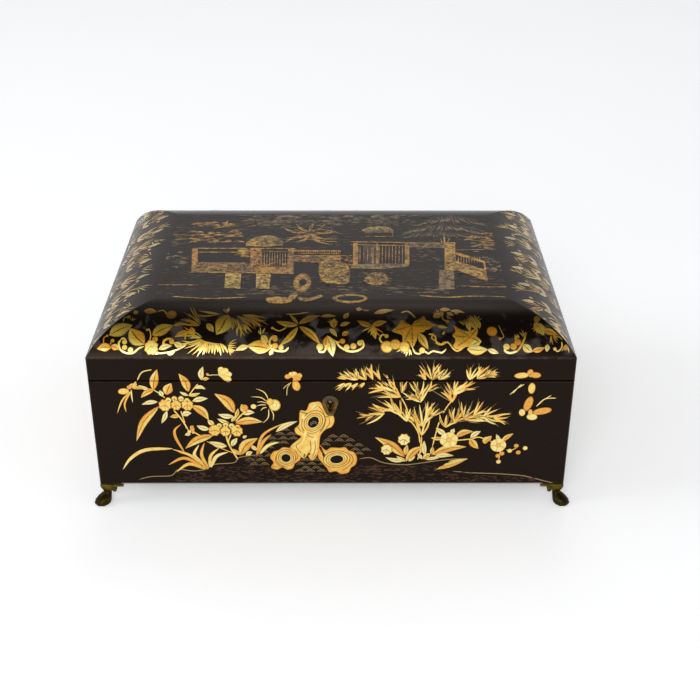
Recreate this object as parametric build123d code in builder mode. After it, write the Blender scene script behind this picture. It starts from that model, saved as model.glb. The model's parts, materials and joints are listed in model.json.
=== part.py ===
"""A lacquered sewing box on four cast paw feet: a mitred case, a hinged lid with curved shoulders,
a box lock with its link plate, two stop hinges, and a lift-out tray with lidded compartments.

Millimetres. Z is up and the feet stand on Z = 0. X runs along the front, and the front faces -Y.
The origin is on the floor, under the middle of the box.
"""

from build123d import *
import math
import os

os.makedirs("parts", exist_ok=True)

# Case and lid, outside
length = 360.0
depth = 253.0
body_height = 93.5
foot_height = 17.5
band_height = 19.0
shoulder_inset = 47.0
shoulder_rise = 25.2
seam_gap = 0.4
corner_round = 1.5
corner_over = 0.05
foot_arris_round = 1.5
shoulder_arris_round = 1.2

# Board thicknesses and joints
wall = 10.0
bottom_board = 7.0
bottom_rebate = 5.0
lid_shell = 8.0
panel_lip = 5.0
panel_lip_height = 3.5
mitre_margin = 5.0

# Heights that follow
case_base = foot_height
seam = case_base + body_height
case_floor = case_base + bottom_board
lid_under = seam + seam_gap
arris = lid_under + band_height
lid_top = arris + shoulder_rise
shoulder_radius = (shoulder_inset**2 + shoulder_rise**2) / (2 * shoulder_rise)
inner_radius = shoulder_radius - lid_shell
inner_spring = lid_top - shoulder_radius + math.sqrt(inner_radius**2 - (shoulder_inset - wall) ** 2)
front_face = -depth / 2
front_inside = front_face + wall

# Screws
screw_head_r = 2.2
screw_shank_r = 1.1
screw_length = 7.5
screw_slot = 0.5
screw_clearance = 0.05

# Stop hinges
hinge_from_end = 75.0
hinge_length = 46.0
leaf_thickness = 1.6
leaf_width = 8.6
knuckle_r = 2.4
knuckle_clearance = 0.35
knuckle_end_gap = 0.2
knuckle_count = 5
pin_r = 1.2
pin_clearance = 0.05
tail_reach = 5.3
tail_thickness = 1.4
case_tail_angle = -60.0
lid_tail_angle = 72.0
leaf_screw_spacing = 15.0
leaf_screw_inset = 5.0
hinge_x = length / 2 - hinge_from_end
hinge_y = depth / 2
hinge_z = seam + seam_gap / 2

# Box lock, link plate and keyhole
lock_x = -1.0
keyhole_below_seam = 18.5
lock_thickness = 8.0
selvedge_length = 58.0
selvedge_thickness = 1.6
lock_plate_width = 54.0
lock_plate_height = 32.0
lock_plate_thickness = 1.5
lock_cap_width = 42.0
lock_cap_wall = 0.8
lock_recess_clearance = 0.3
lock_screw_inset = 3.4
drill_pin_r = 1.0
drill_pin_short = 0.8
keyhole_r = 2.6
keyhole_slot = 2.6
keyhole_drop = 7.6
bolt_travel = 4.5
bolt_thickness = 2.4
bolt_bar_height = 5.0
bolt_above_pin = 2.0
bolt_post_width = 2.4
bolt_finger_length = 5.0
bolt_finger_height = 2.0
bolt_finger_thickness = 1.6
bolt_end = 12.0
bolt_talon_r = 2.8
bolt_spring_thickness = 0.5
bolt_slide_gap = 0.1
stud_width = 2.0
stud_height = 1.2
studs_above = (-8.0, 10.0)
studs_below = (8.0,)
link_spacing = 18.0
link_plate_length = 46.0
link_loop_thickness = 2.0
link_loop_width = 4.6
link_loop_drop = 8.4
link_hole_width = 2.6
link_hole_height = 3.2
link_hole_margin = 1.2
link_slot_clearance = 0.8
link_tip_gap = 0.6
link_screw_spacing = 38.0

# Escutcheon
escutcheon_width = 12.2
escutcheon_height = 18.2
escutcheon_foot_width = 6.8
escutcheon_let_in = 0.8
escutcheon_proud = 0.9
escutcheon_rim = 1.3
escutcheon_dish = 0.8
escutcheon_pin_above = 2.7

# Paw feet
foot_plate = 18.0
foot_plate_arm = 9.2
foot_plate_thickness = 2.0
wing_drop = 5.6
wing_r = 1.7
wing_neck = 1.1
wing_along = 10.6
wing_inset = 2.3
wing_thickness = 3.2
wing_eye_r = 0.8
toe_r = 1.9
toe_angles = (-60.0, -20.0, 20.0, 60.0)
# Height above the floor, distance inside the corner along the diagonal, radius out, radius across
paw_sections = (
    (0.0, 1.3, 5.9, 5.0),
    (1.8, 1.3, 6.6, 5.7),
    (4.6, 2.5, 6.0, 5.3),
    (7.0, 4.9, 4.2, 4.0),
    (9.0, 6.7, 3.1, 3.1),
    (10.6, 7.0, 3.4, 3.4),
)
# Height above the floor, distance of the middle inside each face, side, corner radius
knee_sections = (
    (9.0, 4.8, 5.6, 2.2),
    (12.2, 5.1, 8.8, 1.6),
    (15.5, 5.2, 10.6, 0.8),
)
foot_screw_insets = ((6.6, 14.9), (14.9, 6.6))
foot_screw_length = 7.0

# Lift-out tray
tray_clearance = 0.5
tray_drop = 2.0
tray_height = 40.0
tray_wall = 4.0
tray_floor = 3.0
bearer_width = 8.0
bearer_height = 6.0
divider = 3.0
bank_width = 62.0
trough_width = 36.0
pincushion_well = 75.0
lid_ledge_width = 2.0
lid_ledge_height = 2.5
small_lid_thickness = 3.0
small_lid_clearance = 0.4
small_lid_round = 0.8
banks = {"left": -1, "right": 1}
rows = {"front": -1, "middle": 0, "back": 1}
pincushion_clearance = 0.5
pincushion_crown = 5.0
pincushion_shoulder = 5.0

# Turned knobs
knob_base_r = 3.4
knob_neck_r = 1.3
knob_ball_r = 2.7
knob_height = 8.5
knob_stem_r = 1.2

tray_length = length - 2 * (wall + tray_clearance)
tray_depth = depth - 2 * (wall + tray_clearance)
tray_rim = seam - tray_drop
tray_base = tray_rim - tray_height
well_floor = tray_base + tray_floor
inside_length = tray_length - 2 * tray_wall
inside_depth = tray_depth - 2 * tray_wall
row_depth = (inside_depth - 2 * divider) / 3
bank_edge = inside_length / 2 - bank_width
middle_length = 2 * (bank_edge - divider)
trough_edge = inside_depth / 2 - trough_width
well_depth = 2 * (trough_edge - divider)
ledge_top = tray_rim - small_lid_thickness

outward = {"front": (0, -1), "right": (1, 0), "back": (0, 1), "left": (-1, 0)}


def save(piece, name):
    """Labels one finished piece and writes it."""
    piece.part.label = name
    export_step(piece.part, f"parts/{name}.step")


def span(x0, x1, y0, y1, z0, z1, mode=Mode.ADD):
    """A board or a square recess between two corners, inside the part that is being built."""
    with Locations(((x0 + x1) / 2, (y0 + y1) / 2, (z0 + z1) / 2)):
        Box(x1 - x0, y1 - y0, z1 - z0, mode=mode)


def side_plane(side):
    """A plane square to one side, at its first corner: x points inwards, y up, and z along the side."""
    out = Vector(*outward[side], 0)
    inwards = out * -1
    along = inwards.cross(Vector(0, 0, 1))
    half_out, half_run = (depth / 2, length / 2) if out.X == 0 else (length / 2, depth / 2)
    return Plane(origin=out * half_out - along * half_run, x_dir=inwards, z_dir=along)


def side_run(side):
    return length if outward[side][0] == 0 else depth


def mitred(side, outline, reach):
    """A moulding of the given outline along one side, mitred at both ends to the rounded plan."""
    plane = side_plane(side)
    run = side_run(side)
    along, inwards = plane.z_dir, plane.x_dir
    over = corner_over
    ends = [
        plane.origin - (along + inwards) * over,
        plane.origin + along * (run + over) - inwards * over,
        plane.origin + along * (run - reach) + inwards * reach,
        plane.origin + (along + inwards) * reach,
    ]
    with BuildPart() as moulding:
        with BuildSketch(plane):
            add(outline)
        extrude(amount=run)
        with BuildSketch(Plane.XY):
            RectangleRounded(length + 2 * over, depth + 2 * over, corner_round)
            with BuildLine():
                Polyline(*[(p.X, p.Y) for p in ends], close=True)
            make_face(mode=Mode.INTERSECT)
        extrude(amount=lid_top + mitre_margin, mode=Mode.INTERSECT)
    return moulding.part


def wall_outline():
    """Section of a case wall, rebated for the bottom board, with its lower arris rounded."""
    with BuildSketch() as outline:
        with BuildLine():
            Polyline(
                (0, case_base),
                (0, seam),
                (wall, seam),
                (wall, case_floor),
                (bottom_rebate, case_floor),
                (bottom_rebate, case_base),
                close=True,
            )
        make_face()
        fillet(outline.vertices().sort_by(Axis.X)[:2].sort_by(Axis.Y)[0], foot_arris_round)
    return outline.sketch


def rail_outline():
    """Section of a lid rail: the upright band, the curved shoulder and the lip that carries the top panel."""
    panel_under = lid_top - lid_shell
    with BuildSketch() as outline:
        with BuildLine():
            Line((0, lid_under), (0, arris))
            TangentArc((shoulder_inset, lid_top), (0, arris), tangent=(-1, 0))
            Polyline(
                (shoulder_inset, lid_top),
                (shoulder_inset, panel_under + panel_lip_height),
                (shoulder_inset + panel_lip, panel_under + panel_lip_height),
                (shoulder_inset + panel_lip, panel_under),
                (shoulder_inset, panel_under),
            )
            TangentArc((shoulder_inset, panel_under), (wall, inner_spring), tangent=(-1, 0))
            Polyline((wall, inner_spring), (wall, lid_under), (0, lid_under))
        make_face()
        fillet(outline.vertices().sort_by_distance((0, arris))[0], shoulder_arris_round)
    return outline.sketch


def keyhole_outline(grow=0.0):
    """The keyhole about its drill pin: a round eye with a slot below it, as a sketch for a face along Y."""
    with BuildSketch() as eye:
        Circle(keyhole_r + grow)
        with Locations((0, -keyhole_drop / 2)):
            SlotOverall(keyhole_drop, keyhole_slot + 2 * grow, rotation=90)
    return eye.sketch


def pear_outline(grow=0.0):
    """The escutcheon's outline about its own middle: a round head that narrows to a smaller foot."""
    head_r = escutcheon_width / 2 + grow
    foot_r = escutcheon_foot_width / 2 + grow
    half = escutcheon_height / 2 + grow
    with BuildSketch() as pear:
        with Locations((0, half - head_r)):
            Circle(head_r)
        with Locations((0, foot_r - half)):
            Circle(foot_r)
        make_hull()
    return pear.sketch


def screw(total_length):
    """A slotted countersunk wood screw: its head's flat is at the origin and it points down."""
    head_depth = screw_head_r - screw_shank_r
    shank = screw_shank_r - screw_clearance
    with BuildPart() as body:
        with BuildSketch(Plane.XZ):
            with BuildLine():
                Polyline(
                    (0, 0),
                    (screw_head_r - screw_clearance, 0),
                    (shank, -head_depth),
                    (shank, -total_length + shank),
                    (0, -total_length),
                    close=True,
                )
            make_face()
        revolve(axis=Axis.Z)
        Box(2 * screw_head_r, screw_slot, 2 * screw_slot, mode=Mode.SUBTRACT)
    return body.part


def leaf_screw_planes(top, up):
    """Where the screws of both hinges go, on a leaf's outer face at height top. up is 1 or -1."""
    return [
        Plane(
            origin=(side * hinge_x + step * leaf_screw_spacing, hinge_y - leaf_screw_inset, top),
            z_dir=(0, 0, up),
        )
        for side in (-1, 1)
        for step in (-1, 0, 1)
    ]


def hinge_cut(leaf_low, leaf_high):
    """Takes both hinges out of a back board: the leaf's bed and the room that its knuckles turn in."""
    for x in (-hinge_x, hinge_x):
        half = hinge_length / 2
        span(x - half, x + half, hinge_y - leaf_width, hinge_y, leaf_low, leaf_high, Mode.SUBTRACT)
        with Locations(Location((x, hinge_y, hinge_z), (0, 90, 0))):
            Cylinder(knuckle_r + knuckle_clearance, hinge_length, mode=Mode.SUBTRACT)


def screw_holes(planes, hole_length):
    """Drills a plain hole for each screw in the part that is being built."""
    with Locations(*[Location(p) for p in planes]):
        Cylinder(
            screw_shank_r,
            hole_length,
            align=(Align.CENTER, Align.CENTER, Align.MAX),
            mode=Mode.SUBTRACT,
        )


def leaf(x, low, high, tail_angle, own_first):
    """One leaf of a stop hinge centred at x: plate, knuckles and the tail that stops the lid.

    own_first says whether the knuckles at the ends belong to this leaf.
    """
    half = hinge_length / 2
    step = hinge_length / knuckle_count
    across = Plane(origin=(x - half, hinge_y, hinge_z), x_dir=(0, 1, 0), z_dir=(1, 0, 0))
    own = range(0 if own_first else 1, knuckle_count, 2)
    other = range(1 if own_first else 0, knuckle_count, 2)
    up = 1 if high < hinge_z else -1
    flush = high if up == 1 else low
    with BuildPart() as plate:
        span(x - half, x + half, hinge_y - leaf_width, hinge_y, low, high)
        with BuildSketch(across):
            with Locations(Location((0, 0, 0), (0, 0, tail_angle))):
                Rectangle(tail_reach, tail_thickness, align=(Align.MIN, Align.CENTER))
        extrude(amount=hinge_length)
        for k in other:
            with BuildSketch(across.offset(k * step - knuckle_end_gap / 2)):
                Circle(knuckle_r + knuckle_clearance)
            extrude(amount=step + knuckle_end_gap, mode=Mode.SUBTRACT)
        for k in own:
            start = k * step + (knuckle_end_gap / 2 if k else 0)
            end = (k + 1) * step - (knuckle_end_gap / 2 if k < knuckle_count - 1 else 0)
            with BuildSketch(across.offset(start)):
                Circle(knuckle_r)
            extrude(amount=end - start)
        with BuildSketch(across):
            Circle(pin_r + pin_clearance)
        extrude(amount=hinge_length, mode=Mode.SUBTRACT)
        places = [p for p in leaf_screw_planes(flush, up) if abs(p.origin.X - x) < half]
        with Locations(*[Location(p) for p in places]):
            CounterSinkHole(screw_shank_r, screw_head_r, counter_sink_angle=90)
    return plate


def hinge_pin(x):
    """The pin through both leaves of one hinge."""
    with BuildPart() as pin:
        with BuildSketch(
            Plane(origin=(x - hinge_length / 2, hinge_y, hinge_z), x_dir=(0, 1, 0), z_dir=(1, 0, 0))
        ):
            Circle(pin_r)
        extrude(amount=hinge_length)
    return pin


# The lock's own places
lock_back = front_inside - lock_thickness
lock_middle = front_inside - lock_thickness / 2
lock_top = seam - selvedge_thickness
lock_low = lock_top - lock_plate_height + selvedge_thickness
keyhole_z = seam - keyhole_below_seam
escutcheon_z = keyhole_z - escutcheon_pin_above
lock_screw_x = lock_plate_width / 2 - lock_screw_inset
link_bottom = lid_under - link_loop_drop
link_hole_low = link_bottom + link_hole_margin
bolt_bar_low = keyhole_z + drill_pin_r + bolt_above_pin
bolt_bar_top = bolt_bar_low + bolt_bar_height
bolt_back = front_inside - lock_plate_thickness - bolt_slide_gap
finger_low = link_hole_low + (link_hole_height - bolt_finger_height) / 2
link_xs = (lock_x - link_spacing / 2, lock_x + link_spacing / 2)


def facing_front(y, z):
    """A plane that faces the front at depth y, centred on the lock at height z."""
    return Plane(origin=(lock_x, y, z), x_dir=(1, 0, 0), z_dir=(0, -1, 0))


lock_screw_planes = [
    Plane(origin=(lock_x + sx * lock_screw_x, front_inside, z), z_dir=(0, 1, 0))
    for sx in (-1, 1)
    for z in (lock_low + lock_screw_inset, lock_top - lock_screw_inset)
]
link_screw_planes = [
    Plane(origin=(lock_x + sx * link_screw_spacing / 2, lock_middle, lid_under), z_dir=(0, 0, -1))
    for sx in (-1, 1)
]
foot_screw_planes = [
    Plane(
        origin=(sx * (length / 2 - a), sy * (depth / 2 - b), case_base - foot_plate_thickness),
        z_dir=(0, 0, -1),
    )
    for sx in (-1, 1)
    for sy in (-1, 1)
    for a, b in foot_screw_insets
]

# Case: four mitred walls and the bottom board
wall_section = wall_outline()
wall_reach = wall + mitre_margin

front_board = mitred("front", wall_section, wall_reach)
with BuildPart() as front_wall:
    add(front_board)
    span(
        lock_x - selvedge_length / 2,
        lock_x + selvedge_length / 2,
        lock_back,
        front_inside,
        lock_top,
        seam,
        Mode.SUBTRACT,
    )
    span(
        lock_x - lock_plate_width / 2,
        lock_x + lock_plate_width / 2,
        front_inside - lock_plate_thickness,
        front_inside,
        lock_low,
        lock_top,
        Mode.SUBTRACT,
    )
    recess_half = lock_cap_width / 2 + lock_recess_clearance
    span(
        lock_x - recess_half,
        lock_x + recess_half,
        lock_back,
        front_inside - lock_plate_thickness,
        lock_low + lock_plate_thickness,
        lock_top,
        Mode.SUBTRACT,
    )
    with BuildSketch(facing_front(front_face, escutcheon_z)):
        add(pear_outline())
    extrude(amount=-escutcheon_let_in, mode=Mode.SUBTRACT)
    with BuildSketch(facing_front(front_face, keyhole_z)):
        add(keyhole_outline())
    extrude(amount=-wall, mode=Mode.SUBTRACT)
    screw_holes(lock_screw_planes, screw_length)
save(front_wall, "front_wall")

back_board = mitred("back", wall_section, wall_reach)
with BuildPart() as back_wall:
    add(back_board)
    hinge_cut(seam - leaf_thickness, seam)
    screw_holes(leaf_screw_planes(seam, 1), screw_length)
save(back_wall, "back_wall")

for side in ("left", "right"):
    end_board = mitred(side, wall_section, wall_reach)
    with BuildPart() as end_wall:
        add(end_board)
    save(end_wall, f"{side}_wall")

with BuildPart() as bottom:
    with BuildSketch(Plane.XY.offset(case_base)):
        Rectangle(length - 2 * bottom_rebate, depth - 2 * bottom_rebate)
    extrude(amount=bottom_board)
    screw_holes(foot_screw_planes, foot_screw_length)
save(bottom, "bottom_board")

for side, sx in banks.items():
    inner_x = sx * (length / 2 - wall)
    with BuildPart() as bearer:
        span(
            min(inner_x, inner_x - sx * bearer_width),
            max(inner_x, inner_x - sx * bearer_width),
            -depth / 2 + wall,
            depth / 2 - wall,
            tray_base - bearer_height,
            tray_base,
        )
        chamfer(bearer.edges().filter_by(Axis.Y).group_by(Axis.Z)[0].sort_by(Axis.X)[0 if sx > 0 else -1], 2)
    save(bearer, f"tray_bearer_{side}")

# Lid: four mitred rails and the top panel
rail_section = rail_outline()
rail_reach = shoulder_inset + panel_lip + mitre_margin

front_rail = mitred("front", rail_section, rail_reach)
with BuildPart() as lid_front:
    add(front_rail)
    span(
        lock_x - link_plate_length / 2,
        lock_x + link_plate_length / 2,
        lock_back,
        front_inside,
        lid_under,
        lid_under + leaf_thickness,
        Mode.SUBTRACT,
    )
    screw_holes(link_screw_planes, screw_length)
save(lid_front, "lid_front_rail")

back_rail = mitred("back", rail_section, rail_reach)
with BuildPart() as lid_back:
    add(back_rail)
    hinge_cut(lid_under, lid_under + leaf_thickness)
    screw_holes(leaf_screw_planes(lid_under, -1), screw_length)
save(lid_back, "lid_back_rail")

for side in ("left", "right"):
    end_rail = mitred(side, rail_section, rail_reach)
    with BuildPart() as lid_end:
        add(end_rail)
    save(lid_end, f"lid_{side}_rail")

panel_length = length - 2 * shoulder_inset
panel_depth = depth - 2 * shoulder_inset
with BuildPart() as lid_panel:
    with BuildSketch(Plane.XY.offset(lid_top - lid_shell)):
        Rectangle(panel_length - 2 * panel_lip, panel_depth - 2 * panel_lip)
    extrude(amount=panel_lip_height)
    with BuildSketch(Plane.XY.offset(lid_top - lid_shell + panel_lip_height)):
        Rectangle(panel_length, panel_depth)
    extrude(amount=lid_shell - panel_lip_height)
save(lid_panel, "lid_top_panel")

# Stop hinges: the tails meet when the lid leans back
for side, sx in banks.items():
    save(leaf(sx * hinge_x, seam - leaf_thickness, seam, case_tail_angle, True), f"hinge_{side}_case_leaf")
    save(leaf(sx * hinge_x, lid_under, lid_under + leaf_thickness, lid_tail_angle, False), f"hinge_{side}_lid_leaf")
    save(hinge_pin(sx * hinge_x), f"hinge_{side}_pin")

# Box lock: plate with its selvedge, drill pin, cap, bolt and spring
with BuildPart() as lock_plate:
    span(
        lock_x - selvedge_length / 2,
        lock_x + selvedge_length / 2,
        lock_back,
        front_inside,
        lock_top,
        seam,
    )
    span(
        lock_x - lock_plate_width / 2,
        lock_x + lock_plate_width / 2,
        front_inside - lock_plate_thickness,
        front_inside,
        lock_low,
        lock_top,
    )
    for places, low in (
        (studs_above, bolt_bar_top + bolt_slide_gap),
        (studs_below, bolt_bar_low - bolt_slide_gap - stud_height),
    ):
        for x in places:
            span(
                lock_x + x - stud_width / 2,
                lock_x + x + stud_width / 2,
                bolt_back - bolt_thickness,
                front_inside - lock_plate_thickness,
                low,
                low + stud_height,
            )
    with Locations(*[(x, lock_middle, seam) for x in link_xs]):
        Box(
            link_loop_thickness + 2 * link_slot_clearance,
            link_loop_width + 2 * link_slot_clearance,
            2 * selvedge_thickness + lock_recess_clearance,
            mode=Mode.SUBTRACT,
        )
    with Locations(*[Location(p) for p in lock_screw_planes]):
        CounterSinkHole(
            screw_shank_r, screw_head_r, depth=lock_plate_thickness, counter_sink_angle=90
        )
save(lock_plate, "lock_plate")

with BuildPart() as drill_pin:
    with BuildSketch(facing_front(front_inside - lock_plate_thickness, keyhole_z)):
        Circle(drill_pin_r)
    extrude(amount=wall - lock_plate_thickness - drill_pin_short)
    chamfer(drill_pin.edges().group_by(Axis.Y)[0], drill_pin_r * 0.3)
save(drill_pin, "drill_pin")

cap_front = lock_back + lock_recess_clearance
cap_back = front_inside - lock_plate_thickness
cap_low = lock_low + lock_plate_thickness + lock_recess_clearance
with BuildPart() as lock_cap:
    span(
        lock_x - lock_cap_width / 2,
        lock_x + lock_cap_width / 2,
        cap_front,
        cap_back,
        cap_low,
        lock_top,
    )
    offset(
        amount=-lock_cap_wall,
        openings=lock_cap.faces().filter_by(Axis.Y).sort_by(Axis.Y)[-1:]
        + lock_cap.faces().filter_by(Axis.Z).sort_by(Axis.Z)[-1:],
    )
    with BuildSketch(facing_front(cap_front, keyhole_z)):
        add(keyhole_outline())
    extrude(amount=-lock_cap_wall, mode=Mode.SUBTRACT)
save(lock_cap, "lock_cap")

with BuildPart() as lock_bolt:
    finger_ends = [x - link_loop_thickness / 2 - link_tip_gap for x in link_xs]
    post_lefts = [end - bolt_finger_length - bolt_post_width for end in finger_ends]
    with BuildSketch(facing_front(bolt_back - bolt_thickness, 0)):
        with BuildLine():
            Polyline(
                (post_lefts[0] - lock_x, bolt_bar_low),
                (bolt_end, bolt_bar_low),
                (bolt_end, bolt_bar_top),
                (post_lefts[0] - lock_x, bolt_bar_top),
                close=True,
            )
        make_face()
        with Locations((-bolt_travel / 2, bolt_bar_low)):
            Circle(bolt_talon_r, mode=Mode.SUBTRACT)
        for left in post_lefts:
            with Locations((left - lock_x, bolt_bar_top - screw_slot)):
                Rectangle(
                    bolt_post_width,
                    finger_low + bolt_finger_height - bolt_bar_top + screw_slot,
                    align=(Align.MIN, Align.MIN),
                )
    extrude(amount=-bolt_thickness)
    for left in post_lefts:
        span(
            left + bolt_post_width - screw_slot,
            left + bolt_post_width + bolt_finger_length,
            lock_middle - bolt_finger_thickness / 2,
            lock_middle + bolt_finger_thickness / 2,
            finger_low,
            finger_low + bolt_finger_height,
        )
save(lock_bolt, "lock_bolt")

with BuildPart() as bolt_spring:
    heel = (-lock_cap_width / 2 + lock_cap_wall, bolt_bar_low - 7.5)
    crest = (-lock_cap_width / 2 + 7.5, bolt_bar_low - 2 * bolt_spring_thickness)
    toe = (-lock_cap_width / 2 + 12.0, bolt_bar_low - 2.2)
    with BuildSketch(facing_front(lock_middle - bolt_thickness / 2, 0)):
        with BuildLine() as curve:
            ThreePointArc(heel, crest, toe)
            offset(amount=bolt_spring_thickness, side=Side.RIGHT)
        make_face()
    extrude(amount=-bolt_thickness)
save(bolt_spring, "bolt_spring")

with BuildPart() as link_plate:
    span(
        lock_x - link_plate_length / 2,
        lock_x + link_plate_length / 2,
        lock_back,
        front_inside,
        lid_under,
        lid_under + leaf_thickness,
    )
    with Locations(*[Location(p) for p in link_screw_planes]):
        CounterSinkHole(screw_shank_r, screw_head_r, counter_sink_angle=90)
save(link_plate, "link_plate")

with BuildPart() as link_loops:
    for x in link_xs:
        span(
            x - link_loop_thickness / 2,
            x + link_loop_thickness / 2,
            lock_middle - link_loop_width / 2,
            lock_middle + link_loop_width / 2,
            link_bottom,
            lid_under,
        )
    fillet(link_loops.edges().filter_by(Axis.X).group_by(Axis.Z)[0], link_loop_width * 0.35)
    for x in link_xs:
        span(
            x - link_loop_thickness,
            x + link_loop_thickness,
            lock_middle - link_hole_width / 2,
            lock_middle + link_hole_width / 2,
            link_hole_low,
            link_hole_low + link_hole_height,
            Mode.SUBTRACT,
        )
save(link_loops, "link_loops")

# Escutcheon: a dished pear with a raised rim, let into the front
with BuildPart() as escutcheon:
    with BuildSketch(facing_front(front_face + escutcheon_let_in, escutcheon_z)):
        add(pear_outline())
    extrude(amount=escutcheon_let_in + escutcheon_proud)
    rim = escutcheon.edges().group_by(Axis.Y)[0]
    fillet(rim, escutcheon_proud * 0.6)
    with BuildSketch(facing_front(front_face - escutcheon_proud, escutcheon_z)):
        add(pear_outline(-2 * escutcheon_rim))
    with BuildSketch(facing_front(front_face - escutcheon_proud + escutcheon_dish, escutcheon_z)):
        add(pear_outline(-2 * escutcheon_rim - escutcheon_dish / 2))
    loft(mode=Mode.SUBTRACT)
    with BuildSketch(facing_front(front_face, keyhole_z)):
        add(keyhole_outline())
    extrude(amount=wall, both=True, mode=Mode.SUBTRACT)
save(escutcheon, "escutcheon")


def paw_foot(sx, sy):
    """A cast paw foot under one corner: an angled plate, a square knee that narrows to the ankle,
    a paw with four toes turned out along the diagonal, and a scroll on each inner side."""
    corner = Vector(sx * length / 2, sy * depth / 2, 0)
    out = Vector(sx, sy, 0).normalized()
    across = Vector(-out.Y, out.X, 0)
    plate_low = foot_height - foot_plate_thickness
    plate_points = (
        (0, 0),
        (foot_plate, 0),
        (foot_plate, foot_plate_arm),
        (foot_plate_arm, foot_plate),
        (0, foot_plate),
    )
    with BuildPart() as foot:
        with BuildSketch(Plane.XY.offset(plate_low)):
            with BuildLine():
                Polyline(*[(corner.X - sx * a, corner.Y - sy * b) for a, b in plate_points], close=True)
            make_face()
        extrude(amount=foot_plate_thickness)
        for z, inside, side, corner_r in knee_sections:
            middle = Vector(corner.X - sx * inside, corner.Y - sy * inside, z)
            with BuildSketch(Plane(origin=middle)):
                RectangleRounded(side, side, corner_r)
        loft()
        for z, inside, radius_out, radius_across in paw_sections:
            middle = corner - out * inside + Vector(0, 0, z)
            with BuildSketch(Plane(origin=middle, x_dir=out, z_dir=(0, 0, 1))):
                Ellipse(radius_out, radius_across)
        loft()
        z, inside, radius_out, radius_across = paw_sections[1]
        for angle in toe_angles:
            turned = math.radians(angle)
            toe_out = (radius_out - toe_r * 0.75) * math.cos(turned) - inside
            toe_across = (radius_across - toe_r * 0.6) * math.sin(turned)
            with Locations(corner + out * toe_out + across * toe_across + Vector(0, 0, toe_r * 0.9)):
                Sphere(toe_r)
        for along_x in (True, False):
            a, b = (wing_along, wing_inset) if along_x else (wing_inset, wing_along)
            axis = Vector(0, 1, 0) if along_x else Vector(1, 0, 0)
            run = Vector(1, 0, 0) if along_x else Vector(0, 1, 0)
            eye = Vector(corner.X - sx * a, corner.Y - sy * b, foot_height - wing_drop)
            toward_knee = sx if along_x else sy
            with BuildSketch(Plane(origin=eye - axis * wing_thickness / 2, x_dir=run, z_dir=axis)) as scroll:
                Circle(wing_r)
                up = 1 if along_x else -1
                neck = wing_drop - foot_plate_thickness / 2
                with Locations((toward_knee * (wing_r - wing_neck) / 2, -up * neck / 2)):
                    Rectangle(wing_neck + wing_r, neck)
            extrude(amount=wing_thickness)
        span(
            corner.X - 2 * foot_plate,
            corner.X + 2 * foot_plate,
            corner.Y - 2 * foot_plate,
            corner.Y + 2 * foot_plate,
            -2 * toe_r,
            0,
            Mode.SUBTRACT,
        )
        places = [p for p in foot_screw_planes if p.origin.X * sx > 0 and p.origin.Y * sy > 0]
        with Locations(*[Location(p) for p in places]):
            CounterSinkHole(screw_shank_r, screw_head_r, depth=foot_plate_thickness, counter_sink_angle=90)
    return foot


for row, sy in (("front", -1), ("back", 1)):
    for side, sx in banks.items():
        save(paw_foot(sx, sy), f"foot_{row}_{side}")

# Screws, one node for those of the case and one for those of the lid
wood_screw = screw(screw_length)
foot_screw = screw(foot_screw_length)
with BuildPart() as case_screws:
    with Locations(*[Location(p) for p in leaf_screw_planes(seam, 1) + lock_screw_planes]):
        add(wood_screw)
    with Locations(*[Location(p) for p in foot_screw_planes]):
        add(foot_screw)
save(case_screws, "case_screws")

with BuildPart() as lid_screws:
    with Locations(*[Location(p) for p in leaf_screw_planes(lid_under, -1) + link_screw_planes]):
        add(wood_screw)
save(lid_screws, "lid_screws")

# Tray: a shallow box with partitions
half_x = tray_length / 2
half_y = tray_depth / 2
for side, sy in (("front", -1), ("back", 1)):
    with BuildPart() as tray_side:
        span(
            -half_x,
            half_x,
            min(sy * half_y, sy * (half_y - tray_wall)),
            max(sy * half_y, sy * (half_y - tray_wall)),
            tray_base,
            tray_rim,
        )
    save(tray_side, f"tray_{side}")

for side, sx in banks.items():
    with BuildPart() as tray_end:
        span(
            min(sx * half_x, sx * (half_x - tray_wall)),
            max(sx * half_x, sx * (half_x - tray_wall)),
            -inside_depth / 2,
            inside_depth / 2,
            tray_base,
            tray_rim,
        )
    save(tray_end, f"tray_{side}")

with BuildPart() as tray_bottom:
    with BuildSketch(Plane.XY.offset(tray_base)):
        Rectangle(inside_length, inside_depth)
    extrude(amount=tray_floor)
save(tray_bottom, "tray_bottom")

for side, sx in banks.items():
    with BuildPart() as bank_divider:
        with Locations((sx * (bank_edge - divider / 2), 0, well_floor)):
            Box(divider, inside_depth, tray_rim - well_floor, align=(Align.CENTER, Align.CENTER, Align.MIN))
    save(bank_divider, f"bank_divider_{side}")

row_pitch = row_depth + divider
bank_middle = bank_edge + bank_width / 2
with BuildPart() as cross_dividers:
    with Locations(
        *[(sx * bank_middle, sy * row_pitch / 2, well_floor) for sx in (-1, 1) for sy in (-1, 1)]
    ):
        Box(bank_width, divider, tray_rim - well_floor, align=(Align.CENTER, Align.CENTER, Align.MIN))
save(cross_dividers, "cross_dividers")

with BuildPart() as trough_dividers:
    with Locations(*[(0, sy * (trough_edge - divider / 2), well_floor) for sy in (-1, 1)]):
        Box(middle_length, divider, tray_rim - well_floor, align=(Align.CENTER, Align.CENTER, Align.MIN))
save(trough_dividers, "trough_dividers")

cushion_edge = pincushion_well / 2
with BuildPart() as well_dividers:
    with Locations(*[(sx * (cushion_edge + divider / 2), 0, well_floor) for sx in (-1, 1)]):
        Box(divider, well_depth, tray_rim - well_floor, align=(Align.CENTER, Align.CENTER, Align.MIN))
    with Locations((0, 0, well_floor)):
        Box(pincushion_well, divider, tray_rim - well_floor, align=(Align.CENTER, Align.CENTER, Align.MIN))
save(well_dividers, "well_dividers")

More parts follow.
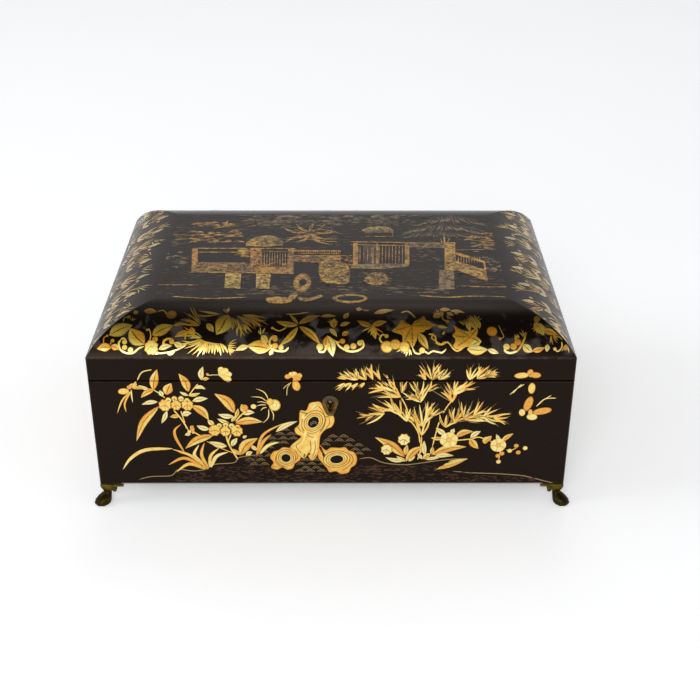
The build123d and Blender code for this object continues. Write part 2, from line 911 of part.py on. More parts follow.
with BuildPart() as lid_ledges:
    for sx in (-1, 1):
        for row in (-1, 0, 1):
            for sy in (-1, 1):
                ledge_y = row * row_pitch + sy * (row_depth - lid_ledge_width) / 2
                with Locations((sx * bank_middle, ledge_y, ledge_top)):
                    Box(
                        bank_width,
                        lid_ledge_width,
                        lid_ledge_height,
                        align=(Align.CENTER, Align.CENTER, Align.MAX),
                    )
save(lid_ledges, "lid_ledges")

# Pincushion: a stuffed pad with a crowned top, in the front half of the middle well
cushion_length = pincushion_well - 2 * pincushion_clearance
cushion_depth = (well_depth - divider) / 2 - 2 * pincushion_clearance
cushion_y = -(well_depth + divider) / 4
cushion_edge_z = tray_rim - pincushion_crown
with BuildPart() as pincushion:
    with BuildSketch(Plane.XY.offset(well_floor)):
        with Locations((0, cushion_y)):
            RectangleRounded(cushion_length, cushion_depth, pincushion_shoulder)
    extrude(amount=cushion_edge_z - well_floor)
    with BuildSketch(Plane.XY.offset(cushion_edge_z)):
        with Locations((0, cushion_y)):
            RectangleRounded(cushion_length, cushion_depth, pincushion_shoulder)
    with BuildSketch(Plane.XY.offset(cushion_edge_z + pincushion_crown * 0.7)):
        with Locations((0, cushion_y)):
            RectangleRounded(
                cushion_length - pincushion_shoulder,
                cushion_depth - pincushion_shoulder,
                pincushion_shoulder,
            )
    with BuildSketch(Plane.XY.offset(tray_rim + pincushion_crown * 0.4)):
        with Locations((0, cushion_y)):
            RectangleRounded(
                cushion_length - 4 * pincushion_shoulder,
                cushion_depth - 4 * pincushion_shoulder,
                pincushion_shoulder,
            )
    loft()
save(pincushion, "pincushion")


def small_lid(x, y):
    """A loose compartment lid with a softened upper edge, drilled for its knob."""
    with BuildPart() as lid:
        with BuildSketch(Plane.XY.offset(ledge_top)):
            with Locations((x, y)):
                Rectangle(bank_width - 2 * small_lid_clearance, row_depth - 2 * small_lid_clearance)
        extrude(amount=small_lid_thickness)
        fillet(lid.faces().sort_by(Axis.Z)[-1].edges(), small_lid_round)
        with Locations((x, y, ledge_top)):
            Cylinder(
                knob_stem_r,
                small_lid_thickness,
                align=(Align.CENTER, Align.CENTER, Align.MIN),
                mode=Mode.SUBTRACT,
            )
    return lid


def turned_knob(x, y):
    """A turned knob: stem, moulded base, narrow neck and a ball with a small tip."""
    plane = Plane(origin=(x, y, tray_rim), x_dir=(1, 0, 0), z_dir=(0, -1, 0))
    ball_z = knob_height - knob_ball_r - 0.6
    with BuildPart() as knob:
        with BuildSketch(plane):
            with BuildLine():
                Polyline(
                    (0, -small_lid_thickness),
                    (knob_stem_r - screw_clearance, -small_lid_thickness),
                    (knob_stem_r - screw_clearance, 0),
                    (knob_base_r, 0),
                    (knob_base_r, 0.8),
                    (knob_neck_r, 2.2),
                    (knob_neck_r, ball_z - math.sqrt(knob_ball_r**2 - knob_neck_r**2)),
                )
                ThreePointArc(
                    (knob_neck_r, ball_z - math.sqrt(knob_ball_r**2 - knob_neck_r**2)),
                    (knob_ball_r, ball_z),
                    (0.8, ball_z + math.sqrt(knob_ball_r**2 - 0.8**2)),
                )
                Polyline(
                    (0.8, ball_z + math.sqrt(knob_ball_r**2 - 0.8**2)),
                    (0.5, knob_height),
                    (0, knob_height),
                    (0, -small_lid_thickness),
                )
            make_face()
        revolve(axis=Axis(origin=(x, y, 0), direction=(0, 0, 1)))
    return knob


for side, sx in banks.items():
    for row, sy in rows.items():
        lid_place = (sx * bank_middle, sy * row_pitch)
        save(small_lid(*lid_place), f"compartment_lid_{side}_{row}")
        save(turned_knob(*lid_place), f"knob_{side}_{row}")
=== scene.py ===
"""A lacquered sewing box with gilt painting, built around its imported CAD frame.

Metres in Blender, millimetres on the drawings. The front faces -Y and the feet stand on Z = 0.
"""

import json
import math
import random
from functools import partial

import bmesh
import bpy
from mathutils import Matrix, Vector


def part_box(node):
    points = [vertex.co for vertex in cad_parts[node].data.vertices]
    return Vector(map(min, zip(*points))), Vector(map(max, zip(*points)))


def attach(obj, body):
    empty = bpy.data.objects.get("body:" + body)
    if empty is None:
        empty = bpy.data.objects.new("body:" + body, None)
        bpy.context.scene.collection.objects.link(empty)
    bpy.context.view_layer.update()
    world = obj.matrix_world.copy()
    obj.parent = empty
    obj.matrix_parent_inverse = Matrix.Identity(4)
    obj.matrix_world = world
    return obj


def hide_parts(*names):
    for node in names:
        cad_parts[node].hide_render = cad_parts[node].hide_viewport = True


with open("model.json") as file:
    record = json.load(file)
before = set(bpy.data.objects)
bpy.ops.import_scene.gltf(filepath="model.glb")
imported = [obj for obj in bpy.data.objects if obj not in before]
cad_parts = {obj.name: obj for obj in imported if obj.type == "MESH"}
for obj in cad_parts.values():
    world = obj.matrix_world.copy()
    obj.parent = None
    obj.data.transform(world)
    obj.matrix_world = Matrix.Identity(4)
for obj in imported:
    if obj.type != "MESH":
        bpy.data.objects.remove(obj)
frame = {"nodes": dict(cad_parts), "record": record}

bl_info = {
    "name": "Lacquered sewing box",
    "version": (1, 0, 0),
    "blender": (4, 5, 0),
    "location": "View3D > Sidebar > Sewing box",
    "description": "Gilt painting, cushion, finishes, floor and light for a lacquered sewing box",
    "category": "Object",
}

MM = 0.001

case_low, case_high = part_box("front_wall")
lid_low, lid_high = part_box("lid_front_rail")
_, side_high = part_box("right_wall")
HALF_LENGTH = side_high.x / MM
HALF_DEPTH = -case_low.y / MM
CASE_BASE = case_low.z / MM
SEAM = case_high.z / MM
LID_UNDER = lid_low.z / MM
LID_TOP = lid_high.z / MM
# The arris is the edge between the lid's band and its shoulder
BAND_HEIGHT = 19.0
ARRIS = LID_UNDER + BAND_HEIGHT


def hex_colour(text):
    """An sRGB hex colour as linear red, green, blue and alpha."""
    parts = [int(text[i : i + 2], 16) / 255 for i in (1, 3, 5)]
    return (*(c / 12.92 if c <= 0.04045 else ((c + 0.055) / 1.055) ** 2.4 for c in parts), 1.0)


def colour_prop(name, about, text):
    return bpy.props.FloatVectorProperty(
        name=name, description=about, subtype="COLOR", size=4, min=0.0, max=1.0, default=hex_colour(text)
    )


def length_prop(name, about, size):
    """A length, given in millimetres."""
    return bpy.props.FloatProperty(name=name, description=about, default=size * MM, unit="LENGTH")


class SewingBoxSizes(bpy.types.PropertyGroup):
    """Sizes that the painting and the cushion follow."""

    band_height: length_prop("Band height", "Height of the lid's upright band", BAND_HEIGHT)
    shoulder_inset: length_prop("Shoulder inset", "How far the curved shoulder runs in from the face", 47.0)
    gold_thickness: length_prop("Gilding thickness", "Thickness of the raised gilt strokes", 0.12)
    gold_proud: length_prop("Gilding height", "How far the lowest stroke stands off the lacquer", 0.05)
    cushion_voxel: length_prop("Cushion mesh", "Size of the cloth's cells", 2.4)


class SewingBoxColours(bpy.types.PropertyGroup):
    """Colours of the finishes."""

    lacquer: colour_prop("Lacquer", "Body of the black lacquer", "#0D0805")
    lacquer_worn: colour_prop("Worn lacquer", "Where handling has dulled it", "#5A5552")
    gold_pale: colour_prop("Pale gold", "Greenish gold powder", "#FBEAA2")
    gold_orange: colour_prop("Red gold", "Reddish gold powder", "#EDA846")
    velvet: colour_prop("Velvet", "Cushion cover", "#641E22")
    floor: colour_prop("Floor", "Paper floor", "#FCFDFF")


# Tones of the gilding, from pale to red gold
CREAM, PALE, YELLOW, AMBER, ORANGE = 0.05, 0.25, 0.5, 0.72, 0.92
# Past those: lacquer drawn back over gold, a thin grey gold, earth brown and a vein's brown
INK, THIN, EARTH, BROWN = -1.0, 1.5, 2.0, 2.5
# How a stroke is shaded: plain, with petal lines, or with a midrib and side veins
PLAIN, PETAL, VEINED = 0.0, 0.5, 1.0

# The least share of its width that a stroke keeps
THINNEST = 0.03
# Strokes lie a little over one another, in turn, and each level well over the one below, in millimetres
LIFT_STEP = 0.004
LIFT_TURNS = 11
LEVEL_LIFT = 0.06
# How far apart the cuts lie along which wide shapes bend, in millimetres
CREASE_STEP = 3.0


def leaf_shape(u):
    return math.sin(math.pi * u**0.85) ** 1.1


def blade_shape(u):
    return 1.9 * (u + 0.01) ** 0.55 * (1 - u) ** 0.85


def line_shape(u):
    return min(1.0, 8 * u + 0.35, 8 * (1 - u) + 0.35)


def petal_shape(u):
    return math.sin(math.pi * (0.08 + 0.9 * u) ** 1.9) ** 0.75


def toward(turn):
    """The direction at an angle in radians."""
    return Vector((math.cos(turn), math.sin(turn)))


def between(p0, p1, p2, p3, t):
    """A place on the smooth line through four points, from the second at 0 to the third at 1."""
    return 0.5 * (
        2 * p1
        + (p2 - p0) * t
        + (2 * p0 - 5 * p1 + 4 * p2 - p3) * t**2
        + (3 * p1 - p0 - 3 * p2 + p3) * t**3
    )


def smooth_run(points, u):
    """A place and the direction to its left on a smooth line through the points."""
    spans = len(points) - 1
    at = min(int(u * spans), spans - 1)
    t = u * spans - at
    p1, p2 = points[at], points[at + 1]
    p0 = points[at - 1] if at > 0 else p1 + (p1 - p2) * 0.6
    p3 = points[at + 2] if at + 2 <= spans else p2 + (p2 - p1) * 0.6
    heading = 0.5 * (
        (p2 - p0)
        + 2 * (2 * p0 - 5 * p1 + 4 * p2 - p3) * t
        + 3 * (3 * p1 - p0 - 3 * p2 + p3) * t**2
    )
    heading.normalize()
    return between(p0, p1, p2, p3, t), Vector((-heading.y, heading.x))


class Drawing:
    """A flat drawing in millimetres, made stroke by stroke, which is then laid on a face of the box."""

    def __init__(self, seed):
        self.bm = bmesh.new()
        self.mark = self.bm.verts.layers.float_color.new("stroke")
        self.squares = lambda x, y: (x, y)
        self.shift = Vector((0.0, 0.0))
        self.mirror = self.squeeze = 1.0
        self.level = self.count = 0
        self.vary = random.Random(seed).uniform

    def point(self, x, y):
        """A place given in the drawing's squares, in millimetres on the sheet."""
        x, y = self.squares(x, y)
        return Vector((x * self.mirror, y * self.squeeze)) + self.shift

    def run(self, points):
        return [self.point(*p) for p in points]

    def rows(self, squares, table):
        """A table's rows; a lone number is the middle of the squares for the rows that follow it."""
        for row in table:
            if isinstance(row, float):
                self.squares = squares(row)
            else:
                yield row

    def spots(self, first, last, top, low, count):
        """Chance places within an area, given in the drawing's squares."""
        for _ in range(count):
            yield self.point(self.vary(first, last), self.vary(top, low))

    def lift(self):
        self.count += 1
        return self.level * LEVEL_LIFT + (self.count % LIFT_TURNS) * LIFT_STEP

    def stroke(self, line, width, tone, shape=leaf_shape, vein=PLAIN, steps=8, across=2):
        """One brush stroke along a line in millimetres."""
        made = bmesh.ops.create_grid(self.bm, x_segments=steps, y_segments=across, size=0.5)
        lift = self.lift()
        for vert in made["verts"]:
            u, v = vert.co.x + 0.5, vert.co.y + 0.5
            place, aside = smooth_run(line, u)
            half = width * max(shape(min(max(u, 0.0), 1.0)), THINNEST) * (v - 0.5)
            vert.co = (place.x + aside.x * half, place.y + aside.y * half, lift)
            vert[self.mark] = (u, v, tone, vein)

    def line(self, points, width, tone, steps):
        """A line of even width through places given in the drawing's squares."""
        self.stroke(self.run(points), width, tone, line_shape, PLAIN, steps, 1)

    def patch(self, outline, tone, rim=1.6, vein=PETAL, steps=4):
        """A filled shape with a smooth edge, given by its outline in millimetres."""
        lift = self.lift()
        segments = len(outline) * steps
        made = bmesh.ops.create_circle(self.bm, cap_ends=True, segments=segments, radius=1)
        loop = outline + outline[:1]
        if sum(a.x * b.y - b.x * a.y for a, b in zip(outline, loop[1:])) < 0:
            loop = loop[::-1]
        padded = [loop[-2]] + loop + [loop[1]]
        for i, vert in enumerate(made["verts"]):
            at, t = divmod(i / steps, 1)
            place = between(*padded[int(at) : int(at) + 4], t)
            vert.co = (place.x, place.y, lift)
            vert[self.mark] = (1.0, 1.0, tone, vein)
        face = made["verts"][0].link_faces[0]
        face.normal_update()
        bmesh.ops.inset_individual(self.bm, faces=[face], thickness=rim, use_even_offset=True)
        for vert in face.verts:
            vert[self.mark] = (0.5, 0.5, tone, vein)

    def dot(self, at, across, tone, tall=None, turn=0.0, vein=PETAL, sides=12):
        """A round or oval touch of the brush; at is in millimetres."""
        made = bmesh.ops.create_circle(self.bm, cap_ends=True, cap_tris=True, segments=sides, radius=1)
        lift = self.lift()
        tall = across if tall is None else tall
        c, s = math.cos(turn), math.sin(turn)
        for vert in made["verts"]:
            x, y = vert.co.x * across / 2, vert.co.y * tall / 2
            rim = vert.co.length
            vert.co = (at.x + c * x - s * y, at.y + s * x + c * y, lift)
            vert[self.mark] = (rim, 0.5 + 0.5 * rim, tone, vein)

    def touch(self, x, y, *given):
        """A round or oval touch at a place given in the drawing's squares."""
        self.dot(self.point(x, y), *given)

    def leaf(self, root, tip, width, tone, bend=0.08, shape=leaf_shape, vein=VEINED, steps=8):
        """A leaf between two places in millimetres; a positive bend arches it to its left."""
        way = tip - root
        aside = Vector((-way.y, way.x)) * bend * self.mirror
        self.stroke([root, (root + tip) / 2 + aside, tip], width, tone, shape, vein, steps)

    def leaves(self, rows, *look):
        """Leaves given by root, tip, width, bend and tone, in the drawing's squares."""
        for x0, y0, x1, y1, wide, bend, tone in rows:
            self.leaf(self.point(x0, y0), self.point(x1, y1), wide, tone, bend, *look)

    def spread(self, first, last, count, loose):
        """Directions between two angles in degrees, each a little off its place."""
        if self.mirror < 0:
            first, last = 180 - first, 180 - last
        for i in range(count):
            turn = math.radians(first + (last - first) * (i + 0.5) / count)
            yield toward(turn + self.vary(-loose, loose))

    def near(self, tone, less, more):
        """A tone a little off the one that is given."""
        return min(max(tone + self.vary(-less, more), 0.02), 0.98)

    def fan(self, root, first, last, reach, count, width, tone):
        """Strokes that spread from one place, between two angles in degrees."""
        for away in self.spread(first, last, count, 0.08):
            long = reach * self.vary(0.75, 1.1)
            start = root + away * long * self.vary(0.12, 0.26)
            bend = self.vary(-0.12, 0.12)
            shade = self.near(tone, 0.35, 0.35)
            wide = width * self.vary(0.36, 0.62)
            self.leaf(start, root + away * long, wide, shade, bend, leaf_shape, PLAIN, 6)

    def spray(self, root, first, last, reach, count, width):
        """Pointed bamboo leaves that spread from one place, with hair-fine strokes behind them."""
        for fine in (True, False):
            for i, away in enumerate(self.spread(first, last, count, 0.12)):
                tip = root + away * (reach * self.vary(0.75, 1.2) * (1.15 if fine else 1.0))
                bend = self.vary(-0.1, 0.1)
                if fine:
                    self.leaf(root, tip, 0.8, BROWN if i % 2 else THIN, bend, blade_shape, PLAIN, 4)
                    continue
                shade = self.near(YELLOW, 0.3, 0.36)
                self.leaf(root, tip, width * self.vary(0.75, 1.15), shade, bend, blade_shape, PLAIN, 6)

    def bloom(self, at, reach, petals, turn):
        """An open cream flower of rounded petals about a yellow heart; at is in millimetres."""
        for i in range(petals):
            away = toward(turn + math.tau * i / petals)
            line = [at + away * reach * share for share in (0.12, 0.6, 1.0)]
            self.stroke(line, 0.95 * math.tau * reach / petals, CREAM, petal_shape, PETAL, 6)
        self.level += 1
        self.dot(at, reach * 0.62, YELLOW)
        self.level -= 1

    def lobes(self, x, y, radius, tone):
        """One scalloped flower head with an inked cup, as in a cluster of them."""
        at = self.point(x, y)
        rim = []
        for i in range(16):
            a = math.tau * i / 16
            r = radius * (1.0 if i % 2 else 0.86)
            rim.append(at + Vector((math.cos(a) * r, math.sin(a) * r * 1.12)))
        self.patch(rim, BROWN, 0.3, PLAIN, 2)
        self.level += 1
        inner = [at + (place - at) * (1 - 0.42 / radius) for place in rim]
        self.patch(inner, tone, radius * 0.22, PETAL, 2)
        self.level += 1
        for i in range(3):
            tip = at + toward(math.radians(210 + 60 * i + self.vary(-12, 12))) * radius * 0.75
            self.stroke([at + Vector((0, radius * 0.1)), tip], 0.35, INK, line_shape, PLAIN, 3, 1)
        self.level -= 2

    def scale(self, at, wide, tone, width):
        """A scale-shaped wave or tuft of leaves: two arcs, one inside the other."""
        for half in (wide / 2, wide / 4):
            ends = [at - Vector((half, 0)), at + Vector((0, half * 0.72)), at + Vector((half, 0))]
            self.stroke(ends, width, tone, line_shape, PLAIN, 5, 1)

    def vine_leaf(self, stem, outline, tips):
        """A lobed leaf with its veins drawn from the stem to the tips, in the drawing's squares."""
        self.patch(self.run(outline), AMBER, 0.12, PETAL, 2)
        self.level += 1
        for tip in tips:
            self.line((stem, tip), 0.5, BROWN, 4)
            along, down = (b - a for a, b in zip(stem, tip))
            for share in (0.35, 0.55, 0.75):
                x, y = (a + (b - a) * share for a, b in zip(stem, tip))
                for side in (0.22, -0.22):
                    reach = (x + along * 0.16 + side * down * 0.5, y + down * 0.16 - side * along * 0.5)
                    self.stroke(self.run(((x, y), reach)), 0.3, BROWN, leaf_shape, PLAIN, 2, 1)
        self.level -= 1

    def curl(self, points, width, tone, ball=0.0):
        """A thin curling line with a round end."""
        self.line(points, width * 0.72, tone, 14)
        if ball:
            self.dot(self.point(*points[-1]), ball * 0.85, tone, sides=10)


# The drawings are squared up: a square on the front is about 12.4 mm wide, and 15 mm down the front
FRONT_TOP = 147.0
FRONT_DROP = 14.2
FRONT_DROP_MORE = 0.075
FRONT_SQUARES_PER_MM = 0.0776
FRONT_SQUARES_MORE = 0.000038
# The square in which each drawing has the middle of the front
LEFT_MIDDLE, RIGHT_MIDDLE = 15.17, 0.1


def front_squares(middle):
    def to_mm(across, down):
        height = FRONT_TOP - FRONT_DROP * down - FRONT_DROP_MORE * down**2
        return (across - middle) / (FRONT_SQUARES_PER_MM + FRONT_SQUARES_MORE * height), height

    return to_mm


# Leaves: root, tip, width in millimetres, bend and tone
LEFT_LEAVES = (
    (4.65, 3.72, 3.68, 3.88, 3.8, -0.06, CREAM), (4.72, 3.98, 3.33, 6.08, 6, -0.09, ORANGE),
    (5.2, 4.25, 4.86, 5.02, 3.6, 0.03, CREAM), (6.75, 3.68, 7.68, 3.52, 4.6, 0.05, CREAM),
    (6.7, 3.95, 7.72, 4.8, 6.8, 0.12, ORANGE), (6.12, 4.52, 6.68, 4.4, 5, 0.1, CREAM),
    (5.95, 4.58, 5.38, 4.62, 3.6, -0.05, ORANGE), (4.4, 3.02, 4.64, 1.8, 6.6, 0.04, ORANGE),
    (6.52, 3.12, 5.94, 2.05, 6.4, -0.08, ORANGE), (5.18, 3.3, 5.48, 2.62, 7.6, 0.05, ORANGE),
    (4.95, 3.4, 4.78, 3.04, 4, 0, CREAM), (4.42, 3.02, 3.64, 3.48, 4.4, -0.1, ORANGE),
    (4.15, 3, 3.48, 2.74, 3.2, 0.04, CREAM), (6.9, 2.92, 7.56, 2.98, 3.2, 0.2, CREAM),
    (6.5, 3.36, 7.22, 3.2, 3, -0.05, YELLOW), (6.5, 3.34, 5.98, 3.12, 2.6, 0.05, CREAM),
    (6.75, 5.3, 6.62, 5.14, 3.4, 0, ORANGE), (6.62, 5.66, 6.26, 5.72, 3, -0.1, CREAM),
    (9.28, 4.38, 8.08, 3.24, 8, -0.12, ORANGE), (9.35, 5, 10.98, 4.92, 6.8, 0.09, ORANGE),
    (7.75, 5.36, 6.98, 5.14, 4.6, 0.06, CREAM), (7.98, 5.72, 6.28, 6.52, 6.6, -0.09, ORANGE),
    (8.05, 5.1, 7.66, 4.78, 4.2, 0.05, YELLOW), (9.22, 4.58, 8.28, 4.46, 4.6, 0.08, CREAM),
    (8.95, 5, 8.24, 4.72, 3.4, 0.05, PALE), (9.34, 4.66, 9.5, 4.12, 3.2, -0.05, ORANGE),
    (9.1, 4.9, 9.45, 4.55, 3, 0.05, YELLOW), (9.78, 4.46, 10.5, 4.36, 5, 0.1, CREAM),
    (10.04, 4.35, 9.72, 3.86, 6, 0.05, ORANGE), (8.8, 6.38, 7.74, 6.1, 5.4, 0.06, CREAM),
    (9.1, 6.38, 9.44, 5.88, 4.4, 0.05, CREAM), (9.62, 6.92, 10.68, 5.9, 8.4, 0.14, ORANGE),
    (9.6, 6.88, 9.18, 6.54, 3.4, 0.05, AMBER), (9.78, 5.9, 10.02, 5.74, 2.6, 0.05, CREAM),
    (9.98, 6.96, 10.36, 6.72, 4, 0.1, PALE), (10.62, 6.62, 10.28, 6.3, 3.4, 0.05, CREAM),
    (11.78, 5.52, 13.1, 4.88, 4.4, 0.07, CREAM), (3.28, 2.95, 3.36, 2.5, 3, 0.05, AMBER),
    (3.1, 2.92, 3.84, 2.96, 2.6, 0.08, ORANGE), (2.98, 2.92, 3.16, 2.62, 3.2, 0, ORANGE),
)
# Blades of grass and long leaves: points, width and tone
LEFT_BLADES = (
    ((7.5, 7.62), (6.55, 6.92), (5.45, 6.55), 3.4, YELLOW),
    ((5.5, 6.52), (3.9, 6.6), (2.98, 7.1), (2.46, 7.82), 4.2, PALE),
    ((6.22, 6.74), (5.72, 5.9), (5.66, 5.4), (6.06, 5.04), 3, ORANGE),
    ((7.35, 7.42), (6.82, 6.9), (7.12, 6.28), 3.6, CREAM),
    ((7.68, 7.7), (7.26, 6.9), (7.44, 6.16), 3.6, AMBER),
    ((7.74, 7.64), (7.82, 6.95), (8.34, 6.48), 3.4, PALE),
    ((7.82, 7.66), (8.16, 7), (8.9, 6.72), 4, CREAM),
    ((7.24, 7.56), (6.2, 7.1), (5.22, 7.52), 3.8, ORANGE),
    ((7.5, 7.76), (6.5, 7.46), (5.7, 7.96), 4, YELLOW),
    ((7.66, 7.76), (7.4, 7.6), (7.2, 7.74), 2.6, ORANGE),
    ((10.6, 6.92), (11, 5.7), (12.34, 4.96), 3, AMBER),
    ((10.62, 6.9), (11.02, 6.1), (11.5, 5.66), 3.4, ORANGE),
    ((10.8, 6.84), (11.3, 6.34), (12, 6.12), 3.8, CREAM),
    ((3.1, 3.06), (2.52, 3.62), (2.18, 4.44), 2, YELLOW),
    ((3.04, 3.1), (2.66, 3.8), (2.74, 4.34), 2, YELLOW),
    ((3.06, 3.02), (3.08, 3.34), (3.14, 3.78), 1.6, CREAM),
    ((11.34, 3.56), (11.1, 3.16), (10.6, 2.94), 1.15, CREAM),
    ((11.26, 3.7), (10.86, 3.46), (10.26, 3.42), 1.1, CREAM),
    ((11.2, 3.9), (10.9, 3.9), (10.56, 4), 1.1, CREAM),
    ((11.36, 4.14), (11.32, 4.66), (10.98, 5), 1.15, CREAM),
    ((11.48, 4.16), (11.64, 4.46), (11.62, 4.86), 1.1, CREAM),
    ((11.24, 4.04), (11.02, 4.1), (10.86, 4.26), 1.1, CREAM),
    ((11.24, 3.8), (10.96, 3.72), (10.62, 3.74), 0.9, CREAM),
)
# Stems: width, tone and points
LEFT_STEMS = (
    (0.9, YELLOW, (6.54, 3.36), (6.8, 3), (7.1, 2.66)),
    (1.1, YELLOW, (5.6, 4.2), (6.1, 4.8), (6.48, 5.42)),
    (0.8, YELLOW, (6.05, 4.26), (6.14, 4.56), (6.28, 5)),
    (0.8, YELLOW, (5.1, 3.5), (4.75, 3.22), (4.4, 3)), (0.8, AMBER, (4.4, 3), (3.8, 2.92), (3.2, 2.92)),
    (0.9, YELLOW, (3.44, 2.44), (3.72, 1.98), (4.32, 1.82)),
    (1.1, YELLOW, (9.36, 4.9), (9.6, 4.6), (10.02, 4.2)),
    (1, YELLOW, (6.8, 5.5), (7, 5.64), (7.2, 5.74)),
    (1.3, YELLOW, (8.74, 5.66), (8.94, 6.3), (9.46, 7.18)),
    (1, YELLOW, (9.06, 5.66), (8.9, 6.1), (8.96, 6.4)),
    (0.7, AMBER, (7.6, 6.1), (8.4, 6.48), (9.2, 6.8)),
    (0.9, AMBER, (5.86, 6.7), (6.1, 6.8), (6.3, 6.84)),
)
# Flower heads of the two clusters: middle, radius and tone
PEONIES = (
    (5.3, 3.62, 2.6, PALE), (5.66, 3.54, 2.6, PALE), (6.06, 3.54, 2.6, PALE), (6.42, 3.66, 2.6, PALE),
    (5.08, 3.92, 5.2, YELLOW), (5.76, 3.92, 4.4, YELLOW), (6.44, 3.9, 5, YELLOW),
    (8.36, 5.14, 2.4, PALE), (8.74, 5.1, 2.6, PALE), (9.1, 5.16, 2.6, PALE), (9.46, 5.22, 2.4, PALE),
    (8.06, 5.42, 5, YELLOW), (8.72, 5.48, 4.4, YELLOW), (9.42, 5.46, 5, YELLOW),
)
# Buds, berries and a butterfly's body: middle, width and tone, then height and turn of the oval ones
LEFT_TOUCHES = (
    (6.72, 5.36, 3.6, AMBER), (6.54, 5.5, 3, CREAM), (6.78, 5.54, 2.8, YELLOW), (10.44, 4, 4.4, CREAM),
    (9.9, 4.06, 5.2, ORANGE), (2.6, 3.1, 8.6, PALE, 5.4, 0.12), (2.94, 2.86, 3.6, ORANGE),
    (11.72, 3.92, 9, CREAM, 10.4), (11.44, 3.72, 5.6, YELLOW, 6.2),
)
# Wings on the lid's band: tip, width and tone
BAND_WINGS = (
    (12.34, 2.24, 4.2, ORANGE), (12.62, 2, 3.6, PALE), (12.96, 1.94, 4.4, PALE),
    (13.4, 2.16, 4.6, AMBER), (13.3, 2.4, 4, ORANGE), (13.12, 3.06, 6.2, AMBER),
)
ROCK_BODY = (
    (13.82, 3.82), (14.15, 3.72), (14.5, 3.74), (14.72, 4.2), (14.9, 4.48), (15.25, 4.52), (15.34, 4.86),
    (15.16, 5.22), (14.82, 5.36), (14.5, 5.72), (14.42, 6.2), (14.36, 6.72), (14.12, 7.16),
    (13.88, 7.22), (13.68, 6.92), (13.52, 7.12), (13.28, 7.02), (13.06, 6.72), (12.66, 6.52),
    (12.72, 6.3), (13.12, 5.98), (13.3, 5.78), (13, 5.62), (12.92, 5.32), (13.18, 5.06), (13.2, 4.62),
    (13.28, 4.22), (13.62, 4.24),
)
ROCK_LEFT = (
    (13.34, 6.72), (13.24, 7.2), (12.94, 7.42), (12.8, 7.7), (12.46, 7.8), (12.16, 7.66), (11.84, 7.8),
    (11.46, 7.66), (11.62, 7.36), (11.42, 7.06), (11.6, 6.72), (11.96, 6.6), (12.2, 6.44), (12.66, 6.48),
    (13, 6.5),
)
ROCK_RIGHT = (
    (14.42, 6.3), (14.8, 6.62), (15.1, 6.46), (15.62, 6.48), (15.98, 6.44), (16.2, 6.64), (16.52, 6.74),
    (16.7, 7.12), (16.6, 7.5), (16.34, 7.68), (16.16, 7.98), (15.72, 8.06), (15.4, 7.9), (15.02, 7.96),
    (14.86, 7.72), (14.64, 7.46), (14.36, 7.1), (14.3, 6.7),
)
# Middle of each hole in the rock, its pale ring and its dark eye, across and down in millimetres
ROCK_HOLES = (
    (14.06, 4.92, 10.6, 14.2, 7.8, 10.6, -0.5), (12.38, 7.08, 9.6, 10.2, 7.2, 7.4, 0),
    (15.46, 7.16, 13.2, 10.2, 10.2, 7.4, 0.15),
)
# Broad strokes that model the rock: root, tip, width, bend and tone
ROCK_SHINES = (
    (13.42, 4.4, 13.3, 6.4, 3, 0.1, PALE), (13.72, 5.9, 13.6, 7, 5.4, 0, YELLOW),
    (14.2, 5.7, 14, 6.9, 4, 0, PALE),
)
# Brown lines that follow the rock's folds
ROCK_LINES = (
    ((13.64, 4.36), (13.5, 5.2), (13.72, 5.72), (14.1, 5.86)), ((14.66, 4.6), (14.74, 5.1), (14.42, 5.56)),
    ((13.84, 6), (13.9, 6.5), (13.78, 6.9)), ((14.14, 6), (14.16, 6.5), (14, 7)),
    ((15, 4.7), (15.04, 5), (14.8, 5.3)), ((13.1, 5.2), (13.3, 5.5)),
    ((13.5, 4.4), (13.4, 5.1), (13.44, 5.6)), ((14.3, 3.9), (14.64, 4.3), (14.8, 4.9), (14.5, 5.5)),
    ((12, 6.78), (11.74, 7.1), (11.9, 7.5), (12.4, 7.66)), ((12.9, 6.64), (13.1, 7), (12.86, 7.3)),
    ((16.1, 6.7), (16.46, 7.1), (16.3, 7.5), (15.8, 7.86)), ((14.7, 6.8), (14.9, 7.3), (15.3, 7.72)),
    ((14.5, 6.5), (14.64, 7), (14.9, 7.5)), ((13.3, 6.1), (13, 6.35), (13.3, 6.8)),
    ((14.2, 6.9), (14.06, 7.1)),
)
# Rows of scale-shaped waves: height, first and last place, in squares
WAVE_ROWS = (
    (5.46, 12.3, 12.9), (5.72, 12, 13), (5.98, 11.5, 12.9), (6.24, 11.6, 12.6), (6.5, 11.3, 11.9),
    (6.76, 11, 11.6), (7.02, 10.7, 11.4), (7.28, 10.2, 11.4), (7.54, 10.4, 11.3), (7.28, 13.5, 14.3),
    (7.52, 13.2, 14.7), (7.76, 13.5, 14.4), (7.94, 13.2, 14.9), (5.86, 15.2, 16), (6.1, 14.9, 16.4),
    (6.34, 14.7, 15.2), (6.4, 16.1, 17), (6.66, 16.5, 17.3), (6.9, 16.8, 17.3), (6.52, 12.9, 13.2),
)
LEFT_GROUND = (
    ((3.45, 8.4), (4.2, 8.22), (5.4, 8.16), (5.84, 7.8), (6.8, 7.88), (7.6, 7.78)),
    ((7.6, 7.78), (8.02, 7.48), (9.2, 7.38), (9.56, 7.06), (10.6, 6.9)),
)
RIGHT_GROUND = (
    ((1.75, 7.16), (2.44, 7.08), (3.3, 7.4), (4.6, 7.5), (5.8, 7.36), (7, 7.2), (8.3, 7.12)),
    ((7.45, 7.9), (8.6, 8), (10.2, 8.06), (11.7, 8.18), (12.8, 8.44), (13.8, 8.7)),
)
